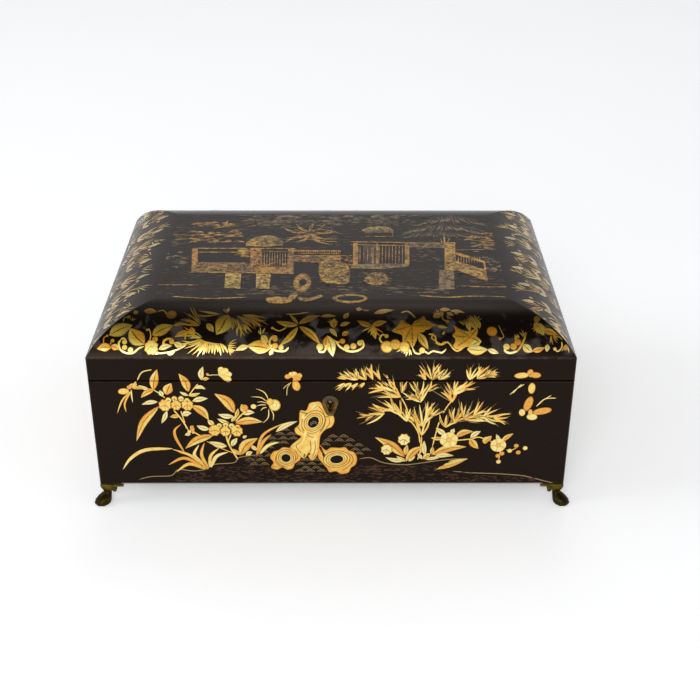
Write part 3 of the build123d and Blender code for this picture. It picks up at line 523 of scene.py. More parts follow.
# Where the dashes of earth lie: first and last place across, top, foot and number
LEFT_EARTH = (
    (5.6, 12, 7.95, 8.6, 130), (8, 12, 7.6, 7.95, 60), (9.7, 11, 7.05, 7.6, 30),
    (12, 16.8, 8, 8.6, 110), (16.4, 18, 7.5, 8.1, 30),
)
RIGHT_EARTH = ((1.9, 6.4, 7.55, 7.9, 70), (2.0, 8.6, 7.9, 8.6, 110), (8.0, 12.5, 8.15, 8.6, 60))
RIGHT_LEAVES = (
    (4.52, 7.02, 2.72, 5.84, 7.4, -0.06, ORANGE), (4.66, 7.22, 5.62, 6.38, 6.4, 0.1, ORANGE),
    (7.62, 5.84, 8.68, 5.5, 5.4, 0.14, ORANGE), (6.15, 6.92, 8.28, 6.42, 6.6, 0.09, ORANGE),
    (6.3, 7.04, 7.5, 6.96, 4.2, 0.08, CREAM), (4.52, 7.24, 3.34, 7.06, 4, 0.08, CREAM),
    (4.6, 7.28, 4.02, 6.98, 3.4, 0.04, YELLOW), (4.62, 7.3, 4.86, 6.74, 3.4, 0, ORANGE),
    (4.58, 6.92, 4.7, 6.3, 4, 0.05, ORANGE), (4.76, 7.3, 5.16, 7, 3, 0.05, CREAM),
    (5.74, 6.92, 5.7, 6.04, 4, 0.03, CREAM), (6.16, 6.86, 6.22, 6.4, 3.4, 0, ORANGE),
    (5.6, 7.16, 5.3, 6.82, 3, 0, CREAM), (5.66, 7.18, 6.1, 6.8, 4.6, 0.05, ORANGE),
    (5.8, 7.2, 6.6, 7.1, 3, 0.05, CREAM), (7, 5.68, 6.42, 5.28, 4.6, 0.03, CREAM),
    (7.36, 5.6, 7.52, 5.32, 3.6, 0, CREAM), (6.8, 5.92, 6.12, 5.88, 3.6, 0.03, AMBER),
    (8.52, 5.88, 9.14, 5.48, 4.6, 0.08, CREAM), (8.48, 5.92, 9, 6.54, 5.8, -0.05, ORANGE),
    (9.4, 6.24, 9.44, 5.8, 4.6, 0, ORANGE), (9.42, 6.1, 9.8, 5.76, 4.4, 0, ORANGE),
    (10.42, 6.1, 11.12, 5.62, 4, 0.06, ORANGE), (10.3, 6.12, 10.08, 5.66, 3.2, 0, CREAM),
    (10.3, 6.1, 10.6, 5.92, 2.6, 0, CREAM),
)
RIGHT_STEMS = (
    (1, YELLOW, (5.44, 6.2), (5.36, 5.6), (5, 5), (4.76, 4.86)),
    (0.9, YELLOW, (4.8, 4.6), (4.6, 4), (4.34, 3.5)),
    (0.9, YELLOW, (6.2, 6.4), (6.5, 5.3), (6.62, 4.92)),
    (0.8, YELLOW, (6.86, 4.4), (7.1, 4), (7.44, 3.6)),
    (1.2, AMBER, (5.5, 6.8), (5.52, 6.3), (5.54, 5.8)),
    (0.9, YELLOW, (5.3, 7.2), (5.46, 6.7), (5.5, 6.2)),
    (1, YELLOW, (7.6, 6.04), (8.2, 5.98), (8.6, 5.94)),
    (0.9, YELLOW, (8.6, 5.94), (9, 5.84), (9.4, 5.94)),
    (0.9, YELLOW, (9.7, 6.1), (10, 6.12), (10.3, 6.2)),
    (0.7, YELLOW, (10.7, 6.6), (10.9, 6.66), (11.3, 6.5)),
    (0.7, YELLOW, (10.36, 6.5), (10.3, 6.8), (10.24, 7.2)),
    (0.7, PALE, (11.76, 2.68), (11.3, 2.96), (10.9, 3.3)),
    (0.6, PALE, (11.6, 2.68), (11.36, 2.9), (11.1, 3.2)),
    (0.7, PALE, (12.5, 4), (13, 3.56), (13.7, 3.5)),
    (0.6, PALE, (12.6, 3.92), (12.96, 3.6), (13.4, 3.34)),
)
# Where bamboo leaves spread from, between which angles in degrees, how far in millimetres, how many
RIGHT_SPRAYS = (
    (3.05, 2.42, 95, 130, 10, 3), (2.6, 2.42, 85, 140, 11, 5), (2.2, 2.42, 80, 160, 11, 6),
    (1.7, 2.4, 90, 170, 10, 6), (1.3, 2.36, 100, 185, 8, 5), (1, 2.36, 120, 190, 6, 3),
    (2.1, 2.6, 200, 240, 5, 3), (1.7, 2.62, 200, 240, 6, 3), (1.3, 2.62, 200, 245, 7, 4),
    (0.9, 2.62, 205, 240, 7, 3), (4.3, 3.45, 120, 190, 19, 6), (3.9, 3.1, 90, 180, 13, 6),
    (3.3, 3, 120, 200, 10, 5), (4.35, 3.2, 60, 110, 9, 3), (5.5, 3.75, 60, 150, 14, 7),
    (5.45, 3.3, 50, 140, 11, 6), (5.4, 3.5, 150, 190, 9, 3), (5.9, 3.1, 10, 80, 8, 4),
    (6.2, 2.42, 20, 130, 13, 8), (6.6, 2.42, 20, 100, 10, 6), (5.8, 2.42, 80, 160, 8, 4),
    (7.4, 3.75, 60, 150, 14, 6), (7.5, 3.3, 10, 140, 11, 8), (7.8, 3, 0, 60, 12, 5),
    (8.45, 2.42, 40, 110, 11, 5), (8.9, 2.36, 10, 90, 11, 6), (9.3, 2.25, -5, 70, 9, 6),
    (9.7, 2.1, -10, 50, 6, 4), (4.65, 4.9, 60, 140, 12, 6), (4.3, 4.5, 90, 160, 12, 6),
    (3.9, 4.25, 100, 190, 13, 6), (3.3, 4.4, 130, 220, 13, 6), (2.7, 4.5, 160, 230, 11, 4),
    (5.55, 5.75, 60, 120, 20, 5), (5.6, 5.2, 40, 140, 16, 7), (5.8, 4.7, 20, 100, 14, 6),
    (5.3, 4.9, 110, 170, 9, 3), (7, 5.25, 20, 130, 12, 5), (7.5, 4.95, 10, 120, 14, 7),
    (8.1, 4.75, -20, 110, 14, 8), (8.7, 4.6, -40, 90, 12, 8), (9.3, 4.6, -45, 60, 11, 7),
    (9.9, 4.7, -40, 30, 12, 5),
)
RIGHT_BERRIES = (
    (10.9, 6.66, CREAM), (11.3, 6.36, ORANGE), (11.42, 6.76, ORANGE), (11.84, 6.5, CREAM),
    (10.43, 6.82, ORANGE), (10.18, 6.96, AMBER), (10.22, 7.32, CREAM),
)
# The butterflies' wings: middle, length, width, turn in degrees and tone
RIGHT_WINGS = (
    (11.6, 2.16, 11, 5, 4, PALE), (12.44, 2.14, 8.4, 5, -6, ORANGE), (12.12, 1.98, 5.4, 4.4, 70, AMBER),
    (12.22, 2.92, 9.6, 5.4, 90, PALE), (12.02, 3.84, 13.4, 6.2, 74, ORANGE),
    (12.86, 4.28, 14.6, 6, 12, ORANGE), (11.64, 4.36, 4.8, 6.4, 10, CREAM),
    (12.24, 4.62, 8.4, 5.8, -5, CREAM),
)


def draw_peonies(art):
    """The left of the front: two clusters of peonies over tufts of grass."""
    art.squares = front_squares(LEFT_MIDDLE)
    for wide, tone, *points in LEFT_STEMS:
        art.line(points, wide, tone, 10)
    for *points, wide, tone in LEFT_BLADES:
        art.stroke(art.run(points), wide, tone, blade_shape, PETAL, 12)
    art.leaves(LEFT_LEAVES)
    art.level += 1
    for row in PEONIES:
        art.lobes(*row)
    for row in LEFT_TOUCHES:
        art.touch(*row)
    art.level -= 1


def draw_band_flower(art):
    """A half flower and a butterfly on the lid's band, over the peonies."""
    art.squares = front_squares(LEFT_MIDDLE)
    art.curl(((8.4, 2.13), (8.0, 2.13), (7.7, 2.16)), 0.7, PALE)
    root, heart = art.run(((8.36, 2.14), (12.88, 2.2)))
    for x, y, wide in ((8.56, 1.66, 4.6), (8.92, 1.78, 5.4), (9.16, 2.08, 5.4), (9.12, 2.46, 5.2)):
        art.leaf(root, art.point(x, y), wide, PALE, 0.0, petal_shape, PETAL)
    art.leaves(((7.34, 2.44, 7.42, 1.64, 4.4, 0.1, PALE), (7.4, 2.42, 7.78, 2.34, 3.0, 0.08, AMBER)))
    art.touch(7.68, 2.1, 2.2, ORANGE)
    for x, y, wide, tone in BAND_WINGS:
        art.leaf(heart, art.point(x, y), wide, tone, 0.0, petal_shape, PETAL)
    art.dot(heart, 3.4, CREAM)
    art.curl(((12.72, 2.56), (12.5, 2.9), (12.46, 3.34)), 0.6, PALE)
    art.curl(((12.62, 2.62), (12.4, 2.8), (12.26, 2.94)), 0.6, PALE)


def draw_rock(art):
    """The pierced rock in the middle of the front, standing in scale-shaped waves."""
    art.squares = front_squares(LEFT_MIDDLE)
    for down, first, last in WAVE_ROWS:
        across = first + art.vary(0, 0.1)
        while across < last:
            art.scale(art.point(across, down), 7.6, THIN, 0.36)
            across += 0.66 + art.vary(-0.05, 0.06)
    art.level += 1
    art.patch(art.run(ROCK_LEFT), AMBER, 2.2)
    art.patch(art.run(ROCK_RIGHT), AMBER, 2.2)
    art.level += 1
    art.patch(art.run(ROCK_BODY), YELLOW, 2.2)
    art.level += 1
    for x, y, wide, tall, eye_wide, eye_tall, turn in ROCK_HOLES:
        turn *= art.mirror
        for ring, tone in ((1.6, YELLOW), (1.3, AMBER)):
            art.touch(x, y, wide * ring, BROWN, tall * ring * 0.96, turn, PLAIN, 22)
            art.level += 1
            art.touch(x, y, wide * ring - 1.1, tone, tall * ring * 0.96 - 1.1, turn, PLAIN, 22)
        art.level += 1
        art.touch(x, y, wide, CREAM, tall, turn, PETAL, 20)
        art.level += 1
        art.touch(x, y, eye_wide, INK, eye_tall, turn, PLAIN, 18)
        art.level -= 4
    art.leaves(ROCK_SHINES, blade_shape, PLAIN)
    art.leaves(((14.0, 4.2, 14.4, 3.84, 5.0, 0.0, PALE),))
    for points in ROCK_LINES:
        art.line(points, 0.5, BROWN, 8)
    art.level += 5
    for y in (4.92, 5.02):
        art.line(((13.84, y + 0.1), (14.1, y - 0.06), (14.3, y + 0.04)), 0.4, THIN, 6)
    art.level -= 8


def draw_bamboo(art):
    """The right of the front: bamboo, low flowers, a branch with berries and two butterflies."""
    art.squares = front_squares(RIGHT_MIDDLE)
    for wide, tone, *points in RIGHT_STEMS:
        art.line(points, wide, tone, 10)
    for x, y, first, last, reach, count in RIGHT_SPRAYS:
        art.spray(art.point(x, y), first, last, reach * 1.08, max(round(count * 0.86), 2), 2.1)
    art.leaves(RIGHT_LEAVES)
    art.level += 1
    art.lobes(4.48, 5.98, 5.2, CREAM)
    art.lobes(3.42, 6.58, 4.8, CREAM)
    art.bloom(art.point(7.2, 6.0), 7.0, 6, 0.3)
    art.bloom(art.point(10.2, 6.32), 6.0, 5, 0.1)
    art.touch(4.5, 5.98, 4.4, PALE)
    for x, y, tone in RIGHT_BERRIES:
        art.touch(x, y, 3.8, tone)
    art.level -= 1
    for x, y, long, wide, turn, tone in RIGHT_WINGS:
        art.touch(x, y, long, tone, wide, math.radians(turn) * art.mirror, PETAL, 16)
    art.touch(12.14, 4.34, 3.4, YELLOW, 5.4)
    art.touch(12.16, 2.16, 3.0, YELLOW)
    for drop, wide, tone in ((7.3, 2.4, AMBER), (7.5, 2.6, YELLOW), (7.68, 3.0, ORANGE), (7.8, 3.2, AMBER)):
        art.leaves(((6.38 + (7.8 - drop) * 1.6, drop, 8.36, 7.14, wide, -0.03, tone),))


def draw_ground(art, middle, lines, seeds):
    """A bank of earth: its edge lines and the short brown dashes below them."""
    art.squares = front_squares(middle)
    for points in lines:
        art.line(points, 0.7, THIN, 24)
    for first, last, top, low, count in seeds:
        for _ in range(count):
            x, y = art.vary(first, last), art.vary(top, low)
            long = art.vary(0.1, 0.34)
            points = ((x, y), (x + long / 2, y - 0.02), (x + long, y + art.vary(-0.03, 0.03)))
            art.line(points, art.vary(0.35, 0.8), EARTH, 3)


def draw_front(art):
    """The front's full drawing: peonies, rock, bamboo, ground and butterflies."""
    draw_ground(art, LEFT_MIDDLE, LEFT_GROUND, LEFT_EARTH)
    draw_ground(art, RIGHT_MIDDLE, RIGHT_GROUND, RIGHT_EARTH)
    draw_rock(art)
    draw_peonies(art)
    draw_band_flower(art)
    draw_bamboo(art)


# How far the peonies and the bamboo are moved along an end, in millimetres
PEONIES_SHIFT, BAMBOO_SHIFT = 46.0, -18.0


def draw_end(art):
    """An end's drawing: the front's peonies and bamboo, side by side."""
    art.shift = Vector((PEONIES_SHIFT, 0.0))
    draw_peonies(art)
    draw_band_flower(art)
    art.shift = Vector((BAMBOO_SHIFT, 0.0))
    draw_bamboo(art)


# On the shoulder a square is about 9 mm wide; its height up from the arris is read off these rows
SHOULDER_ROWS = (58.5, 43.7, 31.1, 20.6, 11.1, 2.1, -6.0)
SHOULDER_SQUARES_PER_MM = 0.110
SHOULDER_SQUARES_MORE = 0.0006
SHOULDER_LEFT, SHOULDER_MIDDLE, SHOULDER_RIGHT = 20.33, 5.89, -6.48
# The border at the back is lower, so that it doesn't run over the far edge of the top
BACK_SQUEEZE = 0.66


def shoulder_squares(middle):
    def to_mm(across, down):
        at = min(max(int(down), 0), len(SHOULDER_ROWS) - 2)
        height = SHOULDER_ROWS[at] + (SHOULDER_ROWS[at + 1] - SHOULDER_ROWS[at]) * (down - at)
        return (across - middle) / (SHOULDER_SQUARES_PER_MM + SHOULDER_SQUARES_MORE * down), height

    return to_mm


# Leaves: root, tip, width, bend, tone
SHOULDER_LEAVES = (
    SHOULDER_LEFT,
    (2.2, 4.36, 1.02, 4.46, 6.6, -0.08, ORANGE), (2.18, 4.24, 2.9, 4.48, 5, 0.05, ORANGE),
    (2.1, 3.34, 4, 2.5, 11, 0.05, PALE), (4.95, 4.08, 3.78, 2.74, 12, 0.06, AMBER),
    (5.62, 3.34, 7.36, 2.52, 9.5, 0.05, YELLOW), (8.56, 3.04, 7.46, 3.46, 4.6, -0.05, AMBER),
    (8.78, 2.66, 8.96, 3.54, 4.4, 0.05, ORANGE), (4.86, 1.36, 5.96, 1.44, 6, 0.05, ORANGE),
    (4.36, 1.6, 4.1, 1.3, 4, 0.05, PALE), (6.1, 4.5, 7.22, 4.2, 4.4, 0.08, CREAM),
    (8.06, 4.2, 7.34, 3.92, 4.6, 0.05, CREAM), (6.8, 4.92, 7.44, 4.7, 3.2, 0, CREAM),
    (6.1, 4.74, 5.7, 4.86, 2.6, 0, CREAM), (11.8, 1.66, 10.86, 3.3, 13, 0.05, PALE),
    (10.1, 2.36, 10.66, 3.06, 5, 0, PALE), (13.5, 4.24, 12.44, 4.6, 4.4, -0.06, CREAM),
    (15.3, 4.46, 13.36, 4.2, 10.4, -0.03, AMBER), (15.26, 4.4, 15.8, 4.24, 5, 0, CREAM),
    (15.06, 3.98, 14.54, 3.36, 5, 0, CREAM), (7.3, 2.56, 8.26, 2.44, 2.4, 0.05, AMBER),
    SHOULDER_MIDDLE,
    (3.15, 2.5, 1.3, 2.18, 5, 0.05, YELLOW), (3.2, 2.4, 4.96, 1.72, 5.4, 0.05, AMBER),
    (4.96, 1.8, 6.3, 1.78, 3.2, 0.05, PALE), (3.14, 2.66, 1.62, 4.2, 5, 0.06, AMBER),
    (3.24, 2.6, 4.98, 4.1, 5.6, 0.06, AMBER), (3.16, 2.4, 2.4, 1.6, 2.6, 0, PALE),
    (0.1, 3.36, 0.66, 3.88, 4.4, 0.05, CREAM), (1.04, 4.54, 0.78, 5, 3.2, 0, CREAM),
    (5.54, 3.36, 6.02, 5.1, 8, 0.03, CREAM), (5.52, 3.4, 5.6, 4.6, 4.4, -0.1, ORANGE),
    (6.08, 2.72, 6.16, 1.92, 5.8, 0.05, ORANGE), (5.72, 2.8, 6.36, 3.46, 3.4, 0.05, PALE),
    (6.76, 3.34, 7.34, 3.06, 3.8, 0.05, ORANGE), (6.6, 2.56, 7.44, 2.28, 3.6, 0.05, PALE),
    (6.9, 1.96, 7.3, 1.5, 4, 0, AMBER), (7.92, 1.2, 8.44, 1.2, 4.2, 0, YELLOW),
    (9.36, 1.58, 11.04, 1.28, 4.6, 0.05, AMBER), (9.2, 2.56, 8, 2.12, 4.8, 0.05, ORANGE),
    (9.24, 2.56, 10.44, 2.2, 5, 0.05, AMBER), (9.24, 2.5, 9.52, 3.66, 4.8, 0, YELLOW),
    (13, 3.1, 13.9, 4.5, 6, 0, AMBER), (14.56, 2.6, 15.44, 2.7, 2.8, 0, PALE),
    (15.2, 3.2, 15, 3.1, 3, 0, PALE),
    SHOULDER_RIGHT,
    (4.7, 4.46, 6.46, 4.5, 7.4, -0.05, YELLOW), (5.06, 4.2, 5.9, 3.8, 6, 0.05, PALE),
    (6.42, 4.5, 7.34, 4.82, 4, 0, CREAM), (2.44, 1.26, 3.34, 1.24, 4.2, 0.05, YELLOW),
    (1.86, 1.84, 2.66, 1.58, 5.2, 0, YELLOW), (3.3, 1.36, 4.5, 1.5, 3.2, 0.08, YELLOW),
    (3, 1.5, 3.6, 1.72, 3.4, 0, AMBER), (4.84, 1.86, 5.46, 2.92, 6.6, 0.05, PALE),
    (4.6, 2.2, 4.9, 3, 4, 0.05, PALE), (5.5, 2.1, 5.7, 2.8, 3.4, 0.05, PALE),
    (9.36, 4.06, 10.14, 4.7, 6.4, -0.08, PALE), (10.1, 4.62, 11.1, 4.34, 4.2, -0.05, ORANGE),
    (11.34, 4.06, 11.3, 4.7, 3.8, 0, PALE), (10.2, 2.3, 11, 3.34, 8, 0.05, PALE),
    (10.9, 2.9, 12.1, 3.3, 5.4, 0.05, AMBER), (12.16, 3.16, 13.06, 3.8, 6, 0.05, YELLOW),
    (10.6, 2.2, 10.14, 2, 3.6, 0, PALE), (13.5, 3.3, 14.2, 4, 5, 0.05, AMBER),
)
# Scrolls: width, tone, the diameter of the round end, and the line
SHOULDER_SCROLLS = (
    SHOULDER_LEFT,
    (
        2, CREAM, 0, (3.02, 3.7), (2.84, 4), (2.92, 4.48), (3.4, 4.8), (4, 4.78), (4.42, 4.44),
        (4.9, 4.24),
    ),
    (2, CREAM, 4.6, (3.02, 3.7), (3.22, 3.58), (3.42, 3.74), (3.32, 3.88)),
    (1, ORANGE, 2.4, (1.6, 4), (1.64, 3.56), (1.92, 3.38)),
    (1, ORANGE, 3.6, (2.16, 4.1), (2.22, 3.9), (2.34, 3.78)),
    (1.2, PALE, 2.8, (5.38, 3.9), (5.48, 3.3), (5.36, 2.82), (5.22, 2.88)),
    (1, AMBER, 4, (5.7, 3.9), (5.74, 3.8), (5.86, 3.66)),
    (2.4, YELLOW, 4.8, (6.54, 4.3), (6.54, 3.84), (6.9, 3.62), (7.3, 3.74), (7.2, 3.86)),
    (1.6, CREAM, 0, (5.6, 4.74), (6.3, 4.82), (7.4, 4.6), (8.2, 4.24), (8.52, 3.86)),
    (1.2, YELLOW, 0, (8.3, 3.7), (8.36, 3.3), (8.56, 3)),
    (1.4, PALE, 0, (6, 1.38), (6.5, 1.32), (6.8, 1.66)),
    (1, PALE, 3.6, (3.24, 2.2), (3.3, 1.9), (3.66, 1.84)),
    (2, YELLOW, 0, (15.3, 4.3), (15.24, 3.8), (15.6, 3.44)),
    SHOULDER_MIDDLE,
    (2, YELLOW, 4.8, (0.84, 4.34), (0.8, 3.84), (1.02, 3.46), (1.36, 3.44), (1.26, 3.66)),
    (2, CREAM, 0, (0.9, 4.5), (1.6, 4.64), (2.1, 4.6), (2.38, 4.32)),
    (1.2, PALE, 2.6, (2.2, 2.7), (1.6, 2.96), (1.04, 2.74)),
    (1.4, PALE, 0, (2.2, 1.62), (3, 1.6), (4, 1.46)),
    (2.2, CREAM, 6.4, (5.5, 4.14), (5.3, 4.66), (4.9, 4.66), (4.94, 4.3)),
    (1.8, AMBER, 5, (5.9, 3.66), (6.4, 3.9), (6.8, 3.82)),
    (2.2, CREAM, 0, (6.24, 3.8), (6.6, 4.28), (7.3, 4.64), (8, 4.62), (8.5, 4.3), (8.54, 3.92)),
    (2, CREAM, 5.2, (8.54, 3.92), (8.36, 3.78), (8.24, 3.96)),
    (1.8, PALE, 4, (10.1, 3.98), (9.86, 3.62), (10.1, 3.28), (10.42, 3.4)),
    (1.8, PALE, 0, (12.8, 1.9), (12.2, 1.4), (11.6, 1.5)),
    (
        1.3, AMBER, 0, (13.9, 3.2), (14.34, 3.26), (14.1, 3.52), (14.46, 3.8), (14.9, 4.06),
        (15.2, 3.88), (15.7, 4.02),
    ),
    (
        1.8, CREAM, 0, (12.56, 4.3), (12.8, 4.78), (13.2, 4.84), (13.5, 4.62), (13.9, 4.84),
        (14.3, 4.62), (15, 4.78), (15.36, 4.46),
    ),
    SHOULDER_RIGHT,
    (
        1.6, YELLOW, 0, (1.5, 3.24), (2.06, 3.4), (2.16, 3.96), (2.66, 4.1), (3.1, 3.88), (3.5, 4.36),
        (3.9, 4.64), (4.4, 4.4),
    ),
    (1.4, YELLOW, 3.6, (2.7, 1.46), (2.66, 1.96), (3.06, 2.2)),
    (0.8, AMBER, 2.8, (7.26, 2.5), (7.5, 3), (7.7, 3.46), (7.4, 3.62)),
    (2.2, CREAM, 6, (8.9, 4.62), (8.3, 4.8), (7.84, 4.6), (7.96, 4.28)),
    (2, AMBER, 0, (8.9, 4.62), (9.2, 4.14), (9.5, 3.4)),
    (1.4, PALE, 3.2, (12.5, 3.86), (12.52, 4.34), (12.2, 4.66), (11.96, 4.46)),
    (1, PALE, 2.6, (9, 3.5), (8.8, 3.4), (8.7, 3.6)),
)
# Berries and round fruit: place, diameter, tone
SHOULDER_ROUNDS = (
    SHOULDER_LEFT,
    (3.3, 4.34, 4, CREAM), (3.78, 4.54, 4.2, CREAM), (7.16, 1.66, 8, AMBER), (5.84, 3.66, 4.4, AMBER),
    (12.6, 4.5, 2, CREAM),
    SHOULDER_MIDDLE,
    (1.26, 4.2, 4.6, YELLOW), (1.74, 4.34, 4.2, CREAM), (7.16, 4.32, 4.4, CREAM), (7.7, 4.24, 4.8, PALE),
    (10.46, 4.28, 9, PALE), (11.16, 4.08, 8, YELLOW), (11.9, 4.28, 8.4, PALE), (13.38, 4.58, 4.6, CREAM),
    (8.14, 1.2, 4, PALE),
    SHOULDER_RIGHT,
    (6.72, 3, 8, AMBER), (8.54, 4.26, 5.2, AMBER), (8.86, 3.9, 5.2, ORANGE), (12.86, 4.34, 4, ORANGE),
    (10.44, 1.96, 5, PALE), (3.8, 1.5, 3.4, AMBER),
)
# Shredded petals: root, first and last angle, reach, number, width, tone
SHOULDER_FANS = (
    SHOULDER_LEFT,
    (11.7, 4.16, 300, 395, 8, 7, 1.7, YELLOW), (11.9, 4.3, 250, 330, 6, 4, 1.6, AMBER),
    (9.9, 3.6, 150, 186, 14, 5, 1.6, PALE), (8.9, 3.9, 170, 205, 9, 3, 1.4, PALE),
    (9.8, 2.6, 115, 178, 20, 9, 2, YELLOW), (9.4, 3.1, 150, 200, 12, 5, 1.8, AMBER),
    (11.5, 1.62, 168, 188, 24, 5, 2, PALE), (11.8, 1.6, 80, 130, 7, 4, 1.8, AMBER),
    (12, 1.66, 225, 300, 14, 8, 2.4, PALE), (12.3, 1.62, 285, 330, 20, 6, 2.6, YELLOW),
    (12.6, 1.6, 325, 356, 24, 6, 2.4, PALE), (13.6, 1.9, 290, 350, 13, 6, 2.2, AMBER),
    (3.9, 2.2, 20, 120, 5, 4, 1.4, AMBER), (8.8, 2.3, 100, 170, 5, 4, 1.2, AMBER),
    (12.9, 2.2, 250, 320, 14, 4, 2.6, PALE), (14.6, 3.4, 60, 130, 7, 3, 2, CREAM),
    SHOULDER_MIDDLE,
    (6, 2.4, 20, 160, 5, 6, 1.4, PALE), (9.3, 2.6, 200, 340, 9, 6, 2.2, YELLOW),
    (12.2, 4.2, 200, 300, 9, 6, 2.6, CREAM), (8.7, 1.4, 10, 150, 4, 4, 1.2, AMBER),
    SHOULDER_RIGHT,
    (9.4, 3.6, 60, 130, 7, 5, 1.2, AMBER), (8.9, 3.7, 80, 140, 5, 4, 1, PALE),
    (5.3, 2.3, 30, 160, 8, 8, 1.8, YELLOW), (4.5, 2.6, 60, 150, 7, 5, 1.6, AMBER),
    (2.3, 1.6, 20, 170, 5, 6, 1.3, AMBER), (3, 2, 10, 90, 5, 4, 1.2, YELLOW),
    (10.6, 2.5, 200, 330, 9, 7, 2, YELLOW), (11.6, 3.2, 250, 380, 9, 7, 1.8, AMBER),
    (12.9, 3.9, 230, 350, 8, 6, 1.6, PALE),
)
# The spider flower's hanging petals: root at the first and the last, angles, lengths, number, width
SHOULDER_FRINGES = (
    ((9.6, 3.64), (10.1, 3.9), (196, 238), (15, 11), 7, 1.6),
    ((9.55, 3.9), (9.96, 4), (222, 262), (12, 9.6), 4, 1.5),
    ((9.98, 4), (11.34, 4.06), (254, 300), (9.8, 7.6), 9, 2.3),
    ((10.1, 3.98), (11.2, 3.98), (262, 284), (6, 5.4), 6, 1.4),
)
# Vine leaves: stem, outline and tips
SHOULDER_VINES = (
    SHOULDER_MIDDLE,
    (
        (12.5, 2.56),
        (
            (12.5, 2.5), (12.74, 2.16), (13.2, 1.94), (13.5, 1.74), (13.66, 2.04), (13.94, 2.18),
            (14.2, 2.4), (14.66, 2.52), (14.2, 2.62), (13.9, 2.84), (13.6, 2.9), (13.5, 3.06),
            (13.2, 3.1), (12.96, 3.2), (12.94, 3.6), (12.84, 3.9), (12.56, 4.4), (12.34, 4),
            (12.16, 3.8), (11.9, 4.1), (11.74, 3.7), (11.7, 3.34), (11.4, 3.2), (10.84, 2.98),
            (11.2, 2.7), (11.42, 2.44), (11.66, 2.04), (11.96, 2.24), (12.2, 2.4),
        ),
        ((13.46, 1.84), (14.5, 2.52), (12.56, 4.2), (11.88, 3.9), (11, 2.96), (11.68, 2.16)),
    ),
    SHOULDER_RIGHT,
    (
        (4.96, 3.5),
        (
            (3.54, 2.5), (3.9, 2.7), (4.3, 2.92), (4.7, 3), (5.1, 2.9), (5.5, 2.74), (5.56, 3.1),
            (5.44, 3.4), (5.72, 3.62), (5.84, 3.86), (5.6, 4.2), (5.1, 4.3), (4.6, 4.3), (4.2, 4.52),
            (3.76, 4.44), (3.56, 4.2), (3.72, 3.86), (3.7, 3.56), (3.46, 3.36), (3.7, 3.1), (3.66, 2.8),
        ),
        ((3.64, 2.62), (5.42, 2.86), (3.6, 3.38), (3.84, 4.3), (5.7, 3.86)),
    ),
)


def draw_shoulder(art):
    """The long shoulder's border: leaves, scrolls with berries, shredded petals and a vine."""
    for wide, tone, ball, *points in art.rows(shoulder_squares, SHOULDER_SCROLLS):
        art.curl(points, wide, tone, ball)
    art.leaves(art.rows(shoulder_squares, SHOULDER_LEAVES))
    for x, y, *fan in art.rows(shoulder_squares, SHOULDER_FANS):
        art.fan(art.point(x, y), *fan)
    for vine in art.rows(shoulder_squares, SHOULDER_VINES):
        art.vine_leaf(*vine)
    art.squares = shoulder_squares(SHOULDER_LEFT)
    for first, last, turns, reaches, count, wide in SHOULDER_FRINGES:
        for i in range(count):
            ends = zip((*first, turns[0], reaches[0]), (*last, turns[1], reaches[1]))
            x, y, turn, reach = (a + (b - a) * (i / (count - 1)) for a, b in ends)
            turn = math.radians(turn + art.vary(-6, 6))
            away = Vector((math.cos(turn) * art.mirror, math.sin(turn))) * reach * art.vary(0.76, 1.12)
            root = art.point(x, y)
            tone = AMBER if i % 3 == 1 else PALE
            art.leaf(root, root + away, wide * art.vary(0.8, 1.0), tone, 0.05, blade_shape, PLAIN, 6)
    roots = ((9.5, 3.6), (9.9, 3.88), (10.5, 4.0), (11.4, 4.06))
    art.stroke(art.run(roots), 1.5, YELLOW, leaf_shape, PLAIN, 10, 1)
    art.level += 1
    for row in art.rows(shoulder_squares, SHOULDER_ROUNDS):
        art.touch(*row)
    art.squares = shoulder_squares(SHOULDER_LEFT)
    art.lobes(5.5, 4.32, 5.6, PALE)
    art.level -= 1


# How each group of an end shoulder is made up: place along and up in millimetres, first and last
# angle, reach, number, width, tone
END_GROUPS = (
    (
        (0, 7, 30, 120, 21, 6, 2.6, PALE), (5, 22, 50, 130, 20, 6, 2.6, PALE),
        (1, 38, 10, 90, 13, 4, 2, PALE), (10, 10, 20, 60, 15, 4, 2, YELLOW),
    ),
    (
        (2, 10, 60, 140, 20, 6, 2.6, YELLOW), (9, 25, 70, 150, 17, 4, 2.4, AMBER),
        (4, 40, 190, 280, 12, 4, 2, YELLOW),
    ),
    (
        (0, 6, 10, 90, 18, 6, 2.4, PALE), (9, 20, 40, 120, 20, 5, 2.6, YELLOW),
        (1, 36, 40, 130, 14, 4, 2.2, PALE),
    ),
)
# Where the groups start and stop, from the ends, and how far apart they are, in millimetres
END_FIRST, END_LAST, END_STEP = 6.0, 4.0, 29.0


